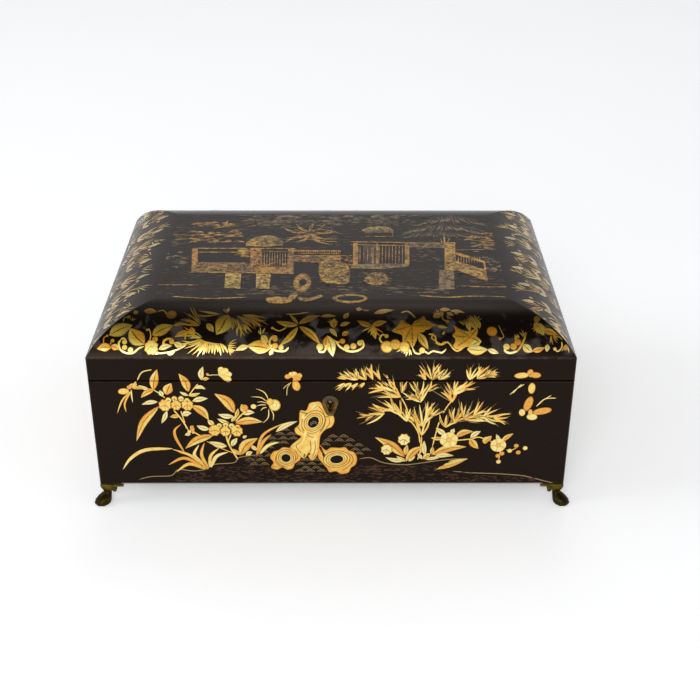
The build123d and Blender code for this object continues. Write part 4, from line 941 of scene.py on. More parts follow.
def draw_end_shoulder(art, half_run):
    """An end shoulder's border: feathery groups of strokes with leaves, curls and berries between."""
    along = END_FIRST - half_run
    turn = 0
    while along < half_run - END_LAST:
        for x, y, *fan in END_GROUPS[turn % len(END_GROUPS)]:
            art.fan(art.point(along + x + art.vary(-2.0, 2.0), y + art.vary(-2.0, 2.0)), *fan)
        low = art.point(along + 13.0, 6.0)
        high = art.point(along + 15.0, 30.0 + art.vary(-4.0, 6.0))
        middle = (low + high) / 2 + Vector((art.vary(-3.0, 3.0), 0.0))
        art.stroke([low, middle, high], 0.9, YELLOW, line_shape, PLAIN, 10, 1)
        art.leaf(middle, middle + Vector((-8.0, 7.0)), 5.6, YELLOW, 0.1)
        art.leaf(middle, middle + Vector((7.0, 8.0)), 5.0, AMBER, -0.1)
        art.leaf(high, high + Vector((-4.0, 11.0)), 5.0, PALE, 0.1)
        art.dot(low + Vector((2.6, 3.0)), 3.6, CREAM)
        art.dot(high + Vector((4.0, 2.0)), 3.4, AMBER)
        along += END_STEP
        turn += 1


# On the flat top a square is about 14 mm wide
TOP_FAR = 137.0
TOP_DROP = 40.5
TOP_DROP_LESS = 0.98
TOP_SQUARES_PER_MM = 0.0641
TOP_SQUARES_MORE = 0.002
TOP_LEFT, TOP_RIGHT = 15.25, 0.15


def top_squares(middle):
    def to_mm(across, down):
        far = TOP_FAR - TOP_DROP * down + TOP_DROP_LESS * down**2
        return (across - middle) / (TOP_SQUARES_PER_MM + TOP_SQUARES_MORE * down), far

    return to_mm


# Straight and bent lines of the buildings, the water and the branches: width, tone, points
TOP_LINES = (
    TOP_LEFT,
    (3.2, AMBER, (7.26, 3.4), (7.26, 4.78)), (2, YELLOW, (7.2, 3.4), (10.3, 3.4)),
    (1.6, AMBER, (7.4, 3.62), (10.4, 3.62)), (1.4, YELLOW, (6.7, 4.78), (12.9, 4.84)),
    (1.6, YELLOW, (9.7, 3.7), (10.3, 3.7)), (1.8, AMBER, (10.6, 3.4), (10.6, 4.84)),
    (2, YELLOW, (10.4, 3.4), (13.1, 3.42)), (1.8, AMBER, (12.9, 3.4), (12.9, 4.84)),
    (1.2, YELLOW, (11.1, 3.56), (12.7, 3.58)), (1.4, AMBER, (11.1, 4.5), (12.7, 4.52)),
    (1.8, AMBER, (13.1, 3.52), (15.7, 3.54)), (1, YELLOW, (13.2, 3.7), (15.7, 3.72)),
    (1.4, AMBER, (13.2, 4.16), (14.6, 4.22)), (1.4, AMBER, (4, 5.5), (7.5, 5.53)),
    (1.6, YELLOW, (6, 6.2), (7, 6.26), (8.2, 6.32), (10.3, 6.24)),
    (1.4, AMBER, (12.4, 3.1), (13.3, 2.66), (14.5, 2.94), (15.5, 3.02)),
    (1.2, AMBER, (13, 2.3), (14.1, 2.6), (15.3, 2.3)),
    (1.2, YELLOW, (13.4, 2.5), (14.5, 2.3), (15.6, 2.5)), (1.2, AMBER, (10.2, 2.16), (10.8, 2.08)),
    (1, AMBER, (5.9, 2.6), (7.2, 2.66)), (1, AMBER, (6.1, 2.9), (7.6, 2.8), (8.4, 2.7)),
    (1, YELLOW, (8.3, 2.3), (8.9, 2.1), (9.1, 1.8)),
    TOP_RIGHT,
    (2, AMBER, (1.1, 3.02), (7.3, 3.1)), (1.4, AMBER, (1.2, 3.18), (7, 3.26)),
    (2.2, AMBER, (1.4, 3.1), (1.42, 4.44)), (1.8, AMBER, (2.72, 3.1), (2.74, 4.4)),
    (2.2, AMBER, (4.52, 3.1), (4.54, 4.36)), (1.6, YELLOW, (1.2, 4.5), (3, 4.54), (4.6, 4.34)),
    (1.2, AMBER, (1.6, 3.3), (1.6, 4.3)), (1.2, AMBER, (2.5, 3.3), (2.5, 4.3)),
    (1.2, AMBER, (1.9, 2.7), (3.7, 2.72)), (1, AMBER, (3.6, 2.3), (3.62, 2.74)),
    (1.2, YELLOW, (6.6, 2.5), (6.64, 3.08)), (1, AMBER, (6.4, 2.84), (6.5, 3.08)),
    (1, AMBER, (6.92, 2.82), (6.82, 3.08)),
    (1.6, YELLOW, (5.2, 6.14), (6.8, 6.24), (8.2, 6.18), (10.2, 6.22)),
    (1.2, AMBER, (7.6, 5.56), (9.2, 5.64), (11.1, 5.6)), (1, AMBER, (6.8, 3.5), (9.7, 3.44)),
    (1, AMBER, (8.1, 2.9), (9.1, 3.02), (10.3, 3.2)), (1, THIN, (3, 5.7), (5, 5.74)),
    (1.8, AMBER, (7.3, 3.62), (8.92, 4.14)), (1.6, AMBER, (7.2, 4.56), (9.12, 5.24)),
    (1.6, AMBER, (8.94, 4.1), (9.12, 5.26)), (1.2, YELLOW, (7.4, 4.2), (8.8, 4.66)),
)
# Solid parts: tone and outline
TOP_PATCHES = (
    TOP_LEFT,
    (YELLOW, (10.2, 3.26), (10.5, 2.86), (10.9, 2.7), (11.6, 2.64), (12.1, 2.8), (12.36, 3.24)),
    (YELLOW, (14.5, 4.2), (15.7, 4.2), (16.2, 4.4), (16.24, 5.4), (15.4, 5.44), (14.6, 5.24)),
    (
        YELLOW, (11.44, 6.3), (12.1, 6.2), (12.7, 6.24), (13.04, 5.9), (13.3, 6.1), (12.9, 6.5),
        (12.3, 6.58), (11.6, 6.54),
    ),
    (YELLOW, (13.3, 6.2), (13.9, 6.3), (14.6, 6.1), (14.7, 6.22), (14, 6.46), (13.4, 6.44)),
    TOP_RIGHT,
    (PALE, (1.86, 2.3), (2.3, 2.14), (3.2, 2.12), (3.64, 2.34), (3.5, 2.42), (2, 2.42)),
    (YELLOW, (2, 5.3), (2.2, 4.9), (2.7, 4.78), (3.2, 4.86), (3.4, 5.2), (3.2, 5.46), (2.6, 5.54)),
)
# Straight-sided parts, drawn with their corners sharp: tone and outline
TOP_PLANKS = (
    TOP_LEFT,
    (AMBER, (7.08, 3.4), (7.42, 3.4), (7.44, 4.2), (9.6, 4.22), (10.5, 4.24), (10.5, 4.8), (7.08, 4.78)),
    (ORANGE, (10.46, 3.42), (11.12, 3.42), (11.14, 4.84), (10.46, 4.84)),
    (AMBER, (11.1, 4.48), (12.66, 4.5), (12.66, 3.44), (13, 3.44), (13, 4.88), (11.1, 4.84)),
    (AMBER, (13, 3.78), (15.72, 3.8), (15.72, 4.2), (13, 4.16)),
    (AMBER, (13, 3.48), (15.72, 3.5), (15.72, 3.6), (13, 3.58)),
    (
        YELLOW, (9.74, 3.46), (10.34, 3.46), (10.34, 3.56), (10.1, 3.6), (10.1, 3.9), (9.92, 3.9),
        (9.92, 3.6), (9.74, 3.58),
    ),
    (PALE, (9.05, 4.84), (9.98, 4.84), (9.94, 5.74), (9.02, 5.7)),
    (PALE, (10.84, 4.86), (11.7, 4.88), (11.62, 5.76), (10.84, 5.72)),
    TOP_RIGHT,
    (AMBER, (1.34, 3.08), (1.58, 3.08), (1.6, 4.28), (1.36, 4.36)),
    (EARTH, (2, 3.2), (2.84, 3.2), (2.86, 4.3), (2.02, 4.3)),
    (AMBER, (4.32, 3.1), (4.58, 3.1), (4.6, 4.3), (4.34, 4.34)),
    (THIN, (4.6, 3.1), (6.7, 3.08), (6.7, 3.38), (4.6, 3.34)),
    (THIN, (1.3, 4.3), (4.6, 4.26), (4.58, 4.44), (3.1, 4.6), (1.2, 4.54)),
    (YELLOW, (6.64, 3.02), (7.26, 3.04), (7.34, 4.68), (6.66, 4.64)),
    (YELLOW, (7.3, 3.6), (8.92, 4.1), (8.96, 4.24), (7.32, 3.76)),
    (YELLOW, (7.32, 4.1), (9, 4.62), (9.14, 5.32), (7.3, 4.62)),
    (THIN, (6.36, 4.66), (7.2, 4.66), (7.26, 5.76), (6.32, 5.8)),
    (AMBER, (1.98, 2.4), (3.6, 2.38), (3.62, 2.48), (1.98, 2.5)),
)
# Bars of the lattices: first and last place across, top and foot, number, width
TOP_BARS = (
    TOP_LEFT,
    (11.14, 12.66, 3.6, 4.46, 11, 0.9), (13.3, 15.6, 3.56, 3.72, 18, 0.6),
    (7.6, 9.6, 4.34, 4.74, 14, 0.6),
    TOP_RIGHT,
    (2.84, 4.4, 3.24, 4.28, 9, 1), (1.74, 2.4, 3.3, 4.2, 4, 0.9), (7.46, 8.7, 3.86, 4.24, 9, 0.8),
)
# Scribbled foliage, water and stonework: area, number, length, slant, width, tone
TOP_SCRIBBLES = (
    TOP_LEFT,
    (7.2, 12.9, 4.2, 4.72, 150, 5, 0.1, 0.8, AMBER), (13.2, 15.7, 3.8, 4.14, 60, 5, 0.1, 0.8, AMBER),
    (7.1, 9.8, 1.9, 3.05, 24, 11, 0.2, 1, AMBER), (9.8, 15.7, 1.45, 2.2, 60, 9, 0.3, 0.8, THIN),
    (12.4, 15.7, 2.2, 3, 8, 12, 0.3, 1, THIN), (14.6, 15.7, 4.3, 5.2, 40, 5, 0.8, 0.8, ORANGE),
    (9.6, 10.5, 3.5, 3.9, 18, 4, 0.1, 0.8, AMBER), (5.6, 7, 3.8, 4.7, 26, 5, 0.1, 0.5, THIN),
    (9.9, 15, 5.6, 6.1, 50, 8, 0.05, 0.5, THIN), (5.2, 6.8, 1.9, 3.6, 18, 9, 0.1, 0.6, THIN),
    (4.8, 15.7, 1.4, 3.4, 190, 9, 0.3, 0.9, EARTH), (5, 15.7, 4.8, 6.2, 170, 9, 0.1, 0.8, EARTH),
    TOP_RIGHT,
    (0, 1.3, 3.8, 4.4, 40, 5, 0.1, 0.8, AMBER), (0, 4.8, 1.4, 2, 40, 10, 0.2, 0.9, THIN),
    (8, 10.2, 2.5, 3.5, 16, 10, 0.2, 1, AMBER), (9.1, 10.6, 3.9, 4.7, 34, 4, 0.4, 0.7, THIN),
    (1.7, 3.6, 4.6, 5.5, 34, 5, 0.1, 0.8, THIN), (0, 0.9, 4.3, 5.3, 30, 5, 0.8, 0.8, ORANGE),
    (0.4, 7, 5.6, 6, 60, 9, 0.05, 0.5, THIN), (4.8, 6.4, 3.4, 4.2, 16, 7, 0.1, 0.6, THIN),
    (6.7, 7.2, 3.1, 4.5, 20, 3.4, 0.2, 0.8, YELLOW), (7.4, 10.4, 5, 5.5, 14, 8, 0.1, 0.5, THIN),
    (0, 10.4, 1.4, 3.2, 190, 9, 0.3, 0.9, EARTH), (0, 10.8, 4.5, 6.2, 190, 9, 0.1, 0.8, EARTH),
    (4.6, 6.6, 3.3, 4.6, 30, 8, 0.1, 0.7, EARTH),
)
# Marks of ink and of brighter gold that make stone and worn boards of them: area, number, tone
TOP_INKS = (
    TOP_LEFT,
    (9.1, 9.9, 4.9, 5.65, 26, INK), (10.9, 11.6, 4.92, 5.65, 24, INK), (14.6, 16.2, 4.25, 5.35, 70, INK),
    (7.4, 10.4, 4.28, 4.74, 70, INK), (10.5, 11.1, 3.5, 4.8, 36, INK), (13.1, 15.7, 3.84, 4.16, 50, INK),
    (10.4, 12.2, 2.8, 3.2, 26, INK), (9.1, 9.9, 4.9, 5.65, 20, YELLOW),
    (10.9, 11.6, 4.92, 5.65, 20, YELLOW), (14.6, 16.2, 4.25, 5.35, 60, YELLOW),
    (13.3, 13.8, 5, 5.9, 10, INK),
    TOP_RIGHT,
    (6.4, 7.2, 4.72, 5.72, 30, INK), (2, 3.3, 4.9, 5.4, 40, INK), (2.05, 2.82, 3.25, 4.26, 26, INK),
    (4.7, 6.6, 3.14, 3.34, 26, INK), (6.7, 7.24, 3.1, 4.6, 14, INK), (7.4, 9, 4.3, 5, 20, INK),
    (6.4, 7.2, 4.72, 5.72, 18, YELLOW), (2, 3.3, 4.9, 5.4, 20, YELLOW),
    (6.7, 7.24, 3.6, 4.3, 14, ORANGE), (2, 3.5, 2.16, 2.38, 12, INK),
)
# A palm's fronds: root, tip, bend
TOP_FRONDS = (
    (13.9, 2.5, 12.3, 2.16, 0.16), (13.9, 2.5, 12.46, 2.78, 0.2), (13.9, 2.5, 12.9, 3.1, 0.16),
    (13.9, 2.46, 13.1, 1.96, 0.1), (13.9, 2.5, 15.6, 2.34, -0.14), (13.9, 2.5, 15.5, 2.86, -0.2),
    (13.9, 2.5, 15.3, 3.22, -0.16), (13.9, 2.46, 14.8, 1.94, -0.1), (13.9, 2.46, 14.2, 1.8, 0.05),
)
# Tufts of leaves: area, number, width and tone
TOP_TUFTS = (
    TOP_LEFT,
    (7.2, 9.2, 1.9, 2.14, 16, 7, AMBER), (7, 9.9, 2.42, 3.06, 30, 7, AMBER),
    (9.9, 15.7, 1.34, 2.1, 44, 8, THIN), (9.9, 15.7, 1.4, 2.3, 60, 7, EARTH),
    (5, 7.2, 2, 3.2, 30, 6, EARTH), (5, 7, 3.6, 4.6, 16, 6, THIN),
    (10.3, 12.3, 2.84, 3.16, 14, 5, BROWN),
    TOP_RIGHT,
    (0, 4.6, 1.36, 1.96, 30, 8, THIN), (0, 4.6, 1.4, 2.1, 50, 7, EARTH), (8, 10.2, 2.5, 3, 20, 7, AMBER),
    (8.2, 10.4, 3.06, 3.6, 16, 6, THIN), (9, 11, 3.9, 4.8, 22, 5, THIN),
    (1.7, 3.6, 2.16, 2.38, 10, 4, BROWN),
)
# Hanging boughs of a willow: first and last place across, top, droop, number, length, tone
TOP_WILLOWS = (
    (5.7, 8.3, 1.5, 0.22, 34, 9, EARTH), (5.3, 8.7, 1.64, 0.3, 40, 9, THIN),
    (4.7, 8.6, 1.98, 0.34, 44, 9, EARTH), (4.5, 8.5, 2.12, 0.34, 44, 9, THIN),
    (4.1, 8.3, 2.4, 0.22, 44, 8, EARTH), (4.4, 8.1, 2.52, 0.18, 30, 7, THIN),
)
# A stone and a dish, each with its dark middle one level up: level, place, width, tone, height, turn,
# shading, sides
TOP_RINGS = (
    TOP_LEFT,
    (0, 13.52, 5.4, 14, YELLOW, 34, 0, PETAL, 18), (1, 13.56, 5.36, 6, INK, 12, 0, PLAIN, 14),
    TOP_RIGHT,
    (0, 1.2, 6.3, 27, PALE, 15, 0, PETAL, 22), (1, 1.24, 6.3, 21, INK, 8, 0, PLAIN, 20),
)


def draw_trees(art):
    """The trees behind the buildings: a palm, a willow and clipped tufts."""
    art.squares = top_squares(TOP_LEFT)
    art.leaves((*frond[:4], 3.4, frond[4], AMBER) for frond in TOP_FRONDS)
    for *area, wide, tone in art.rows(top_squares, TOP_TUFTS):
        for spot in art.spots(*area):
            art.scale(spot, wide * art.vary(0.7, 1.2), tone, 1.2)
    art.squares = top_squares(TOP_RIGHT)
    for first, last, top, droop, count, long, tone in TOP_WILLOWS:
        for i in range(count):
            lean = 2 * (i + art.vary(0.0, 1.0)) / count - 1
            x = (first + last + lean * (last - first)) / 2
            spot = art.point(x, top + droop * lean**2 + art.vary(-0.05, 0.05))
            hang = Vector((1.1 * lean, -(1 - 0.6 * lean**2))) * long * art.vary(0.7, 1.2)
            art.leaf(spot, spot + hang, 1.1, tone, -0.16 * lean, leaf_shape, PLAIN, 4)


def draw_top(art):
    """The flat top's scene: verandas and a towered bridge on piers, over water, with trees behind."""
    draw_trees(art)
    for *area, long, slant, wide, tone in art.rows(top_squares, TOP_SCRIBBLES):
        for spot in art.spots(*area):
            turn = slant * art.vary(-1.0, 1.0)
            away = toward(turn) * long * art.vary(0.3, 0.6)
            bow = Vector((0.0, art.vary(-0.8, 1.6)))
            line = [spot - away, spot + bow, spot + away]
            art.stroke(line, wide * art.vary(0.9, 2.0), tone, leaf_shape, PLAIN, 3, 1)
    art.level += 1
    for tone, *points in art.rows(top_squares, TOP_PATCHES):
        art.patch(art.run(points), tone, 0.9, PETAL, 2)
    for tone, *points in art.rows(top_squares, TOP_PLANKS):
        art.patch(art.run(points), tone, 0.7, PETAL, 1)
    art.level += 1
    for *area, tone in art.rows(top_squares, TOP_INKS):
        for spot in art.spots(*area):
            away = toward(art.vary(-1.2, 1.2)) * art.vary(0.8, 2.4)
            art.stroke([spot - away, spot + away], art.vary(0.5, 1.1), tone, leaf_shape, PLAIN, 2, 1)
    for first, last, top, low, count, wide in art.rows(top_squares, TOP_BARS):
        for i in range(count):
            x = first + (last - first) * i / (count - 1)
            art.line(((x, top), (x, low)), wide, AMBER, 2)
    for wide, tone, *points in art.rows(top_squares, TOP_LINES):
        art.line(points, wide, tone, 12)
    art.level -= 1
    for up, *ring in art.rows(top_squares, TOP_RINGS):
        art.level += up
        art.touch(*ring)
        art.level -= up
    art.level -= 1


def draw_small_lid(art, half_x, half_y):
    """A compartment lid's border lines, with leaves in each corner and a wreath about the knob."""
    for inset, wide in ((3.0, 0.9), (5.0, 0.4)):
        x, y = half_x - inset, half_y - inset
        corners = ((-x, -y), (x, -y), (x, y), (-x, y))
        for i in range(4):
            art.line((corners[i], corners[(i + 1) % 4]), wide, YELLOW, 2)
    for sx in (1, -1):
        for sy in (1, -1):
            root = art.point(sx * (half_x - 7.0), sy * (half_y - 7.0))
            for turn, long in ((0.0, 11.0), (0.62, 8.5), (-0.62, 8.5)):
                away = Vector((-sx, -sy)).normalized()
                away.rotate(Matrix.Rotation(turn, 2))
                art.leaf(root, root + away * long, 3.4, AMBER if turn else PALE, 0.05)
            art.dot(root, 2.4, CREAM)
    for i in range(14):
        turn = math.tau * i / 14
        root = art.point(15.0 * math.cos(turn), 15.0 * math.sin(turn))
        tip = art.point(16.4 * math.cos(turn + 0.42), 16.4 * math.sin(turn + 0.42))
        art.leaf(root, tip, 2.6, YELLOW if i % 2 else AMBER, 0.1)


class Face:
    """A side of the box: its outward direction, how far out it stands and half its run, in millimetres."""

    def __init__(self, out, half, run):
        self.out = Vector((*out, 0.0))
        self.along = Vector((-out[1], out[0], 0.0))
        self.half = half
        self.run = run

    def flat(self, co, proud):
        """From a drawing of length and height onto the upright face."""
        up = Vector((0.0, 0.0, co.y))
        return (self.along * co.x + self.out * (self.half + proud + co.z) + up) * MM

    def shoulder(self, co, proud, arc):
        """From a drawing of length and distance up from the arris onto the shoulder and over its top."""
        turn = arc.start - co.y / arc.radius
        if turn > 0:
            reach = arc.radius + proud + co.z
            out = self.half - arc.inset + reach * math.sin(turn)
            up = LID_TOP - arc.radius + reach * math.cos(turn)
        else:
            out = self.half - arc.inset + turn * arc.radius
            up = LID_TOP + proud + co.z
        return (self.along * co.x + self.out * out + Vector((0.0, 0.0, up))) * MM


class Arc:
    """The shoulder's section: its radius, inset and the angle at which it starts."""

    def __init__(self, sizes):
        self.inset = sizes.shoulder_inset / MM
        rise = LID_TOP - LID_UNDER - sizes.band_height / MM
        self.radius = (self.inset**2 + rise**2) / (2 * rise)
        self.start = math.asin(self.inset / self.radius)
        self.length = self.radius * self.start


FACES = {
    "front": Face((0, -1), HALF_DEPTH, HALF_LENGTH),
    "right": Face((1, 0), HALF_LENGTH, HALF_DEPTH),
    "back": Face((0, 1), HALF_DEPTH, HALF_LENGTH),
    "left": Face((-1, 0), HALF_LENGTH, HALF_DEPTH),
}
LONG_SIDES = ("front", "back")


def trim(bm, place, away, clear=True):
    """Cuts off what lies beyond a plane, or only cuts along it."""
    geom = bm.verts[:] + bm.edges[:] + bm.faces[:]
    bmesh.ops.bisect_plane(bm, geom=geom, plane_co=place, plane_no=away, clear_outer=clear)


def below(height):
    return (Vector((0.0, height, 0.0)), Vector((0.0, 1.0, 0.0)))


def above(height):
    return (Vector((0.0, height, 0.0)), Vector((0.0, -1.0, 0.0)))


def within(half):
    return tuple((Vector((end * half, 0.0, 0.0)), Vector((end, 0.0, 0.0))) for end in (1.0, -1.0))


def crease(bm, first, last):
    """Cuts a drawing along level lines, so that its wide shapes bend over a curve."""
    for i in range(int((last - first) / CREASE_STEP) + 1):
        trim(bm, *below(first + i * CREASE_STEP), False)


def keep_whole(bm, half):
    """Takes away each shape of a drawing that the edge of a face would cut."""
    gone = {vert for vert in bm.verts if abs(vert.co.x) > half}
    fresh = list(gone)
    while fresh:
        vert = fresh.pop()
        joined = {edge.other_vert(vert) for edge in vert.link_edges} - gone
        gone |= joined
        fresh += joined
    bmesh.ops.delete(bm, geom=[vert for vert in bm.verts if vert in gone], context="VERTS")


def new_piece(name, bm):
    """A new object at the origin with the mesh that was built, linked to the scene."""
    mesh = bpy.data.meshes.new(name)
    bm.to_mesh(mesh)
    bm.free()
    piece = bpy.data.objects.new(name, mesh)
    bpy.context.scene.collection.objects.link(piece)
    return piece


def lay(drawing, name, onto, body, material, sizes, flat_cuts=(), world_cuts=()):
    """Lays a copy of a drawing on a face, trims it and gives its gold a thickness."""
    bm = drawing.bm.copy()
    for place, away in flat_cuts:
        trim(bm, place, away)
    for vert in bm.verts:
        vert.co = onto(vert.co)
    for place, away in world_cuts:
        trim(bm, place, away)
    if not bm.faces:
        raise RuntimeError(f"{name}: nothing of the drawing is left")
    piece = new_piece(name, bm)
    piece.data.materials.append(material)
    gold = piece.modifiers.new("gold", "SOLIDIFY")
    gold.thickness = sizes.gold_thickness
    gold.offset = -1.0
    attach(piece, body)


def add(tree, kind, *given, out=0, stops=(), **settings):
    """Adds one node with its settings and links, and gives back the output that is asked for.

    What is given goes to the node's sockets in their order, as a value or another node's output, and
    None leaves a socket alone. A setting is the node's own or, with capitals, a socket's.
    """
    made = tree.nodes.new("ShaderNode" + kind)
    named = {key: settings.pop(key) for key in list(settings) if key[0].isupper()}
    for key, value in settings.items():
        setattr(made, key, value)
    pairs = list(zip([socket for socket in made.inputs if socket.enabled], given))
    pairs += [(made.inputs[key.replace("_", " ")], value) for key, value in named.items()]
    for socket, value in pairs:
        if isinstance(value, bpy.types.NodeSocket):
            tree.links.new(value, socket)
        elif value is not None:
            socket.default_value = value
    for i, (at, colour) in enumerate(stops):
        band = made.color_ramp.elements
        element = band[i] if i < len(band) else band.new(at)
        element.position = at
        element.color = colour
    results = [socket for socket in made.outputs if socket.enabled]
    if out is None or not results:
        return results
    return made.outputs[out] if isinstance(out, str) else results[out]


def new_material(name):
    """An empty material, and the function that adds nodes to it."""
    material = bpy.data.materials.new(name)
    material.use_nodes = True
    material.node_tree.nodes.clear()
    return material, partial(add, material.node_tree)


def grey(value):
    return (value, value, value, 1.0)


def darker(colour, share):
    return (*(part * share for part in colour[:3]), 1.0)


def per(size):
    """The scale of a pattern whose marks are this many millimetres across."""
    return 1.0 / (size * MM)


def lacquer(colours):
    """Black lacquer on wood, rubbed down and polished."""
    # The eye gets a deep brown black with a clear gloss, greyed along edges and where hands wear it, a
    # painted reflection of the floor along the lower edge, painted shade in the joint under the lid, and a
    # faint haze of wax and dust at glancing angles
    material, put = new_material("Polished black lacquer")
    place = put("TexCoord", out="Object")
    x, y, z = put("SeparateXYZ", place, out=None)
    x = put("Math", x, operation="ABSOLUTE")
    y = put("Math", y, operation="ABSOLUTE")
    near_x = put("MapRange", x, (HALF_LENGTH - 1.4) * MM, (HALF_LENGTH - 0.4) * MM)
    near_y = put("MapRange", y, (HALF_DEPTH - 1.4) * MM, (HALF_DEPTH - 0.4) * MM)
    corner = put("Math", near_x, near_y, operation="MULTIPLY")
    outer = put("Math", near_x, near_y, operation="MAXIMUM")
    foot_edge = put("MapRange", z, (CASE_BASE + 1.6) * MM, (CASE_BASE + 0.5) * MM)
    bands = []
    for low, full, last, high in (
        (ARRIS - 1.0, ARRIS - 0.2, ARRIS + 0.5, ARRIS + 2.0),
        (SEAM - 1.4, SEAM - 1.0, SEAM - 0.5, SEAM - 0.2),
        # The joint under the lid, where shade is painted black
        (SEAM - 0.5, SEAM - 0.2, LID_UNDER + 0.3, LID_UNDER + 0.6),
    ):
        rise = put("MapRange", z, low * MM, full * MM)
        fall = put("MapRange", z, high * MM, last * MM)
        bands.append(put("Math", rise, fall, operation="MULTIPLY"))
    arris, seam, joint_shade = bands
    worn = put("TexNoise", place, per(14), 5.0, 0.7)
    worn = put("MapRange", worn, 0.36, 0.66)
    edges = foot_edge
    for part, how in ((arris, "MAXIMUM"), (corner, "MAXIMUM"), (worn, "MULTIPLY"), (outer, "MULTIPLY")):
        edges = put("Math", edges, part, operation=how)
    seam = put("Math", seam, worn, operation="MULTIPLY")
    mottle = put("TexNoise", place, per(110), 4.0, 0.6, None, 0.4)
    rubbed = put("TexNoise", place, per(20), 3.0, 0.6, None, 0.6)
    rubbed = put("MapRange", rubbed, 0.52, 0.6)
    # Hands reach the outside of the shoulder only, so nothing is rubbed where the board faces down
    # into the box, or on the band and the flat top
    facing = put("SeparateXYZ", put("TexCoord", out="Normal"), out="Z")
    for part, none, full in (
        (facing, 0.2, 0.4),
        (z, (ARRIS + 0.5) * MM, (ARRIS + 3.0) * MM),
        (z, (LID_TOP - 2.0) * MM, (LID_TOP - 6.0) * MM),
    ):
        rubbed = put("Math", rubbed, put("MapRange", part, none, full), operation="MULTIPLY")
    # The lower edge is painted pale blue-grey all along, as a painted reflection of the floor in it, but
    # for the plates of the feet
    floor_reflection = put("MapRange", z, (CASE_BASE + 1.9) * MM, (CASE_BASE + 1.2) * MM)
    floor_reflection = put("Math", floor_reflection, outer, operation="MULTIPLY")
    from_end = put("Math", HALF_LENGTH * MM, x, operation="SUBTRACT")
    from_side = put("Math", HALF_DEPTH * MM, y, operation="SUBTRACT")
    past_plate = put("Math", from_end, from_side, operation="MAXIMUM")
    past_plate = put("MapRange", past_plate, 16.0 * MM, 18.0 * MM)
    floor_reflection = put("Math", floor_reflection, past_plate, operation="MULTIPLY")
    base = put("Mix", mottle, darker(colours.lacquer, 0.6), colours.lacquer, data_type="RGBA")
    for part, most, colour in (
        (seam, 0.35, hex_colour("#5A3424")),
        (rubbed, 0.34, colours.lacquer_worn),
        (edges, 0.55, colours.lacquer_worn),
        # The lower edge's pale grey is a painted reflection of the floor
        (floor_reflection, 0.8, hex_colour("#AEB2B4")),
    ):
        share = put("Math", part, most, operation="MULTIPLY")
        base = put("Mix", share, base, colour, data_type="RGBA")
    # Painted shade: the joint under the lid is black, as its shadow and its grime, and shines back nothing
    base = put("Mix", joint_shade, base, grey(0.0), data_type="RGBA")
    grain = put("Mapping", place, Scale=(per(70), per(11), per(2.4)))
    fine = put("TexNoise", grain, 1.0, 4.0, 0.6)
    rough = put("ValToRGB", fine, stops=((0.25, grey(0.22)), (0.8, grey(0.36))))
    dulled = put("Math", edges, rubbed, operation="MAXIMUM")
    rough = put("Mix", dulled, rough, grey(0.42), data_type="RGBA")
    waves = put("Mix", 0.5, fine, mottle, data_type="FLOAT")
    shader = put(
        "BsdfPrincipled",
        Base_Color=base,
        # Metallic is full in the joint's painted shade, so that it shines back nothing
        Metallic=joint_shade,
        Roughness=rough,
        IOR=1.26,
        Specular_Tint=(1.0, 0.66, 0.48, 1.0),
        Sheen_Weight=0.25,
        Sheen_Roughness=0.2,
        Normal=put("Bump", Height=waves, Strength=0.05, Distance=0.6 * MM),
    )
    put("OutputMaterial", shader)
    return material


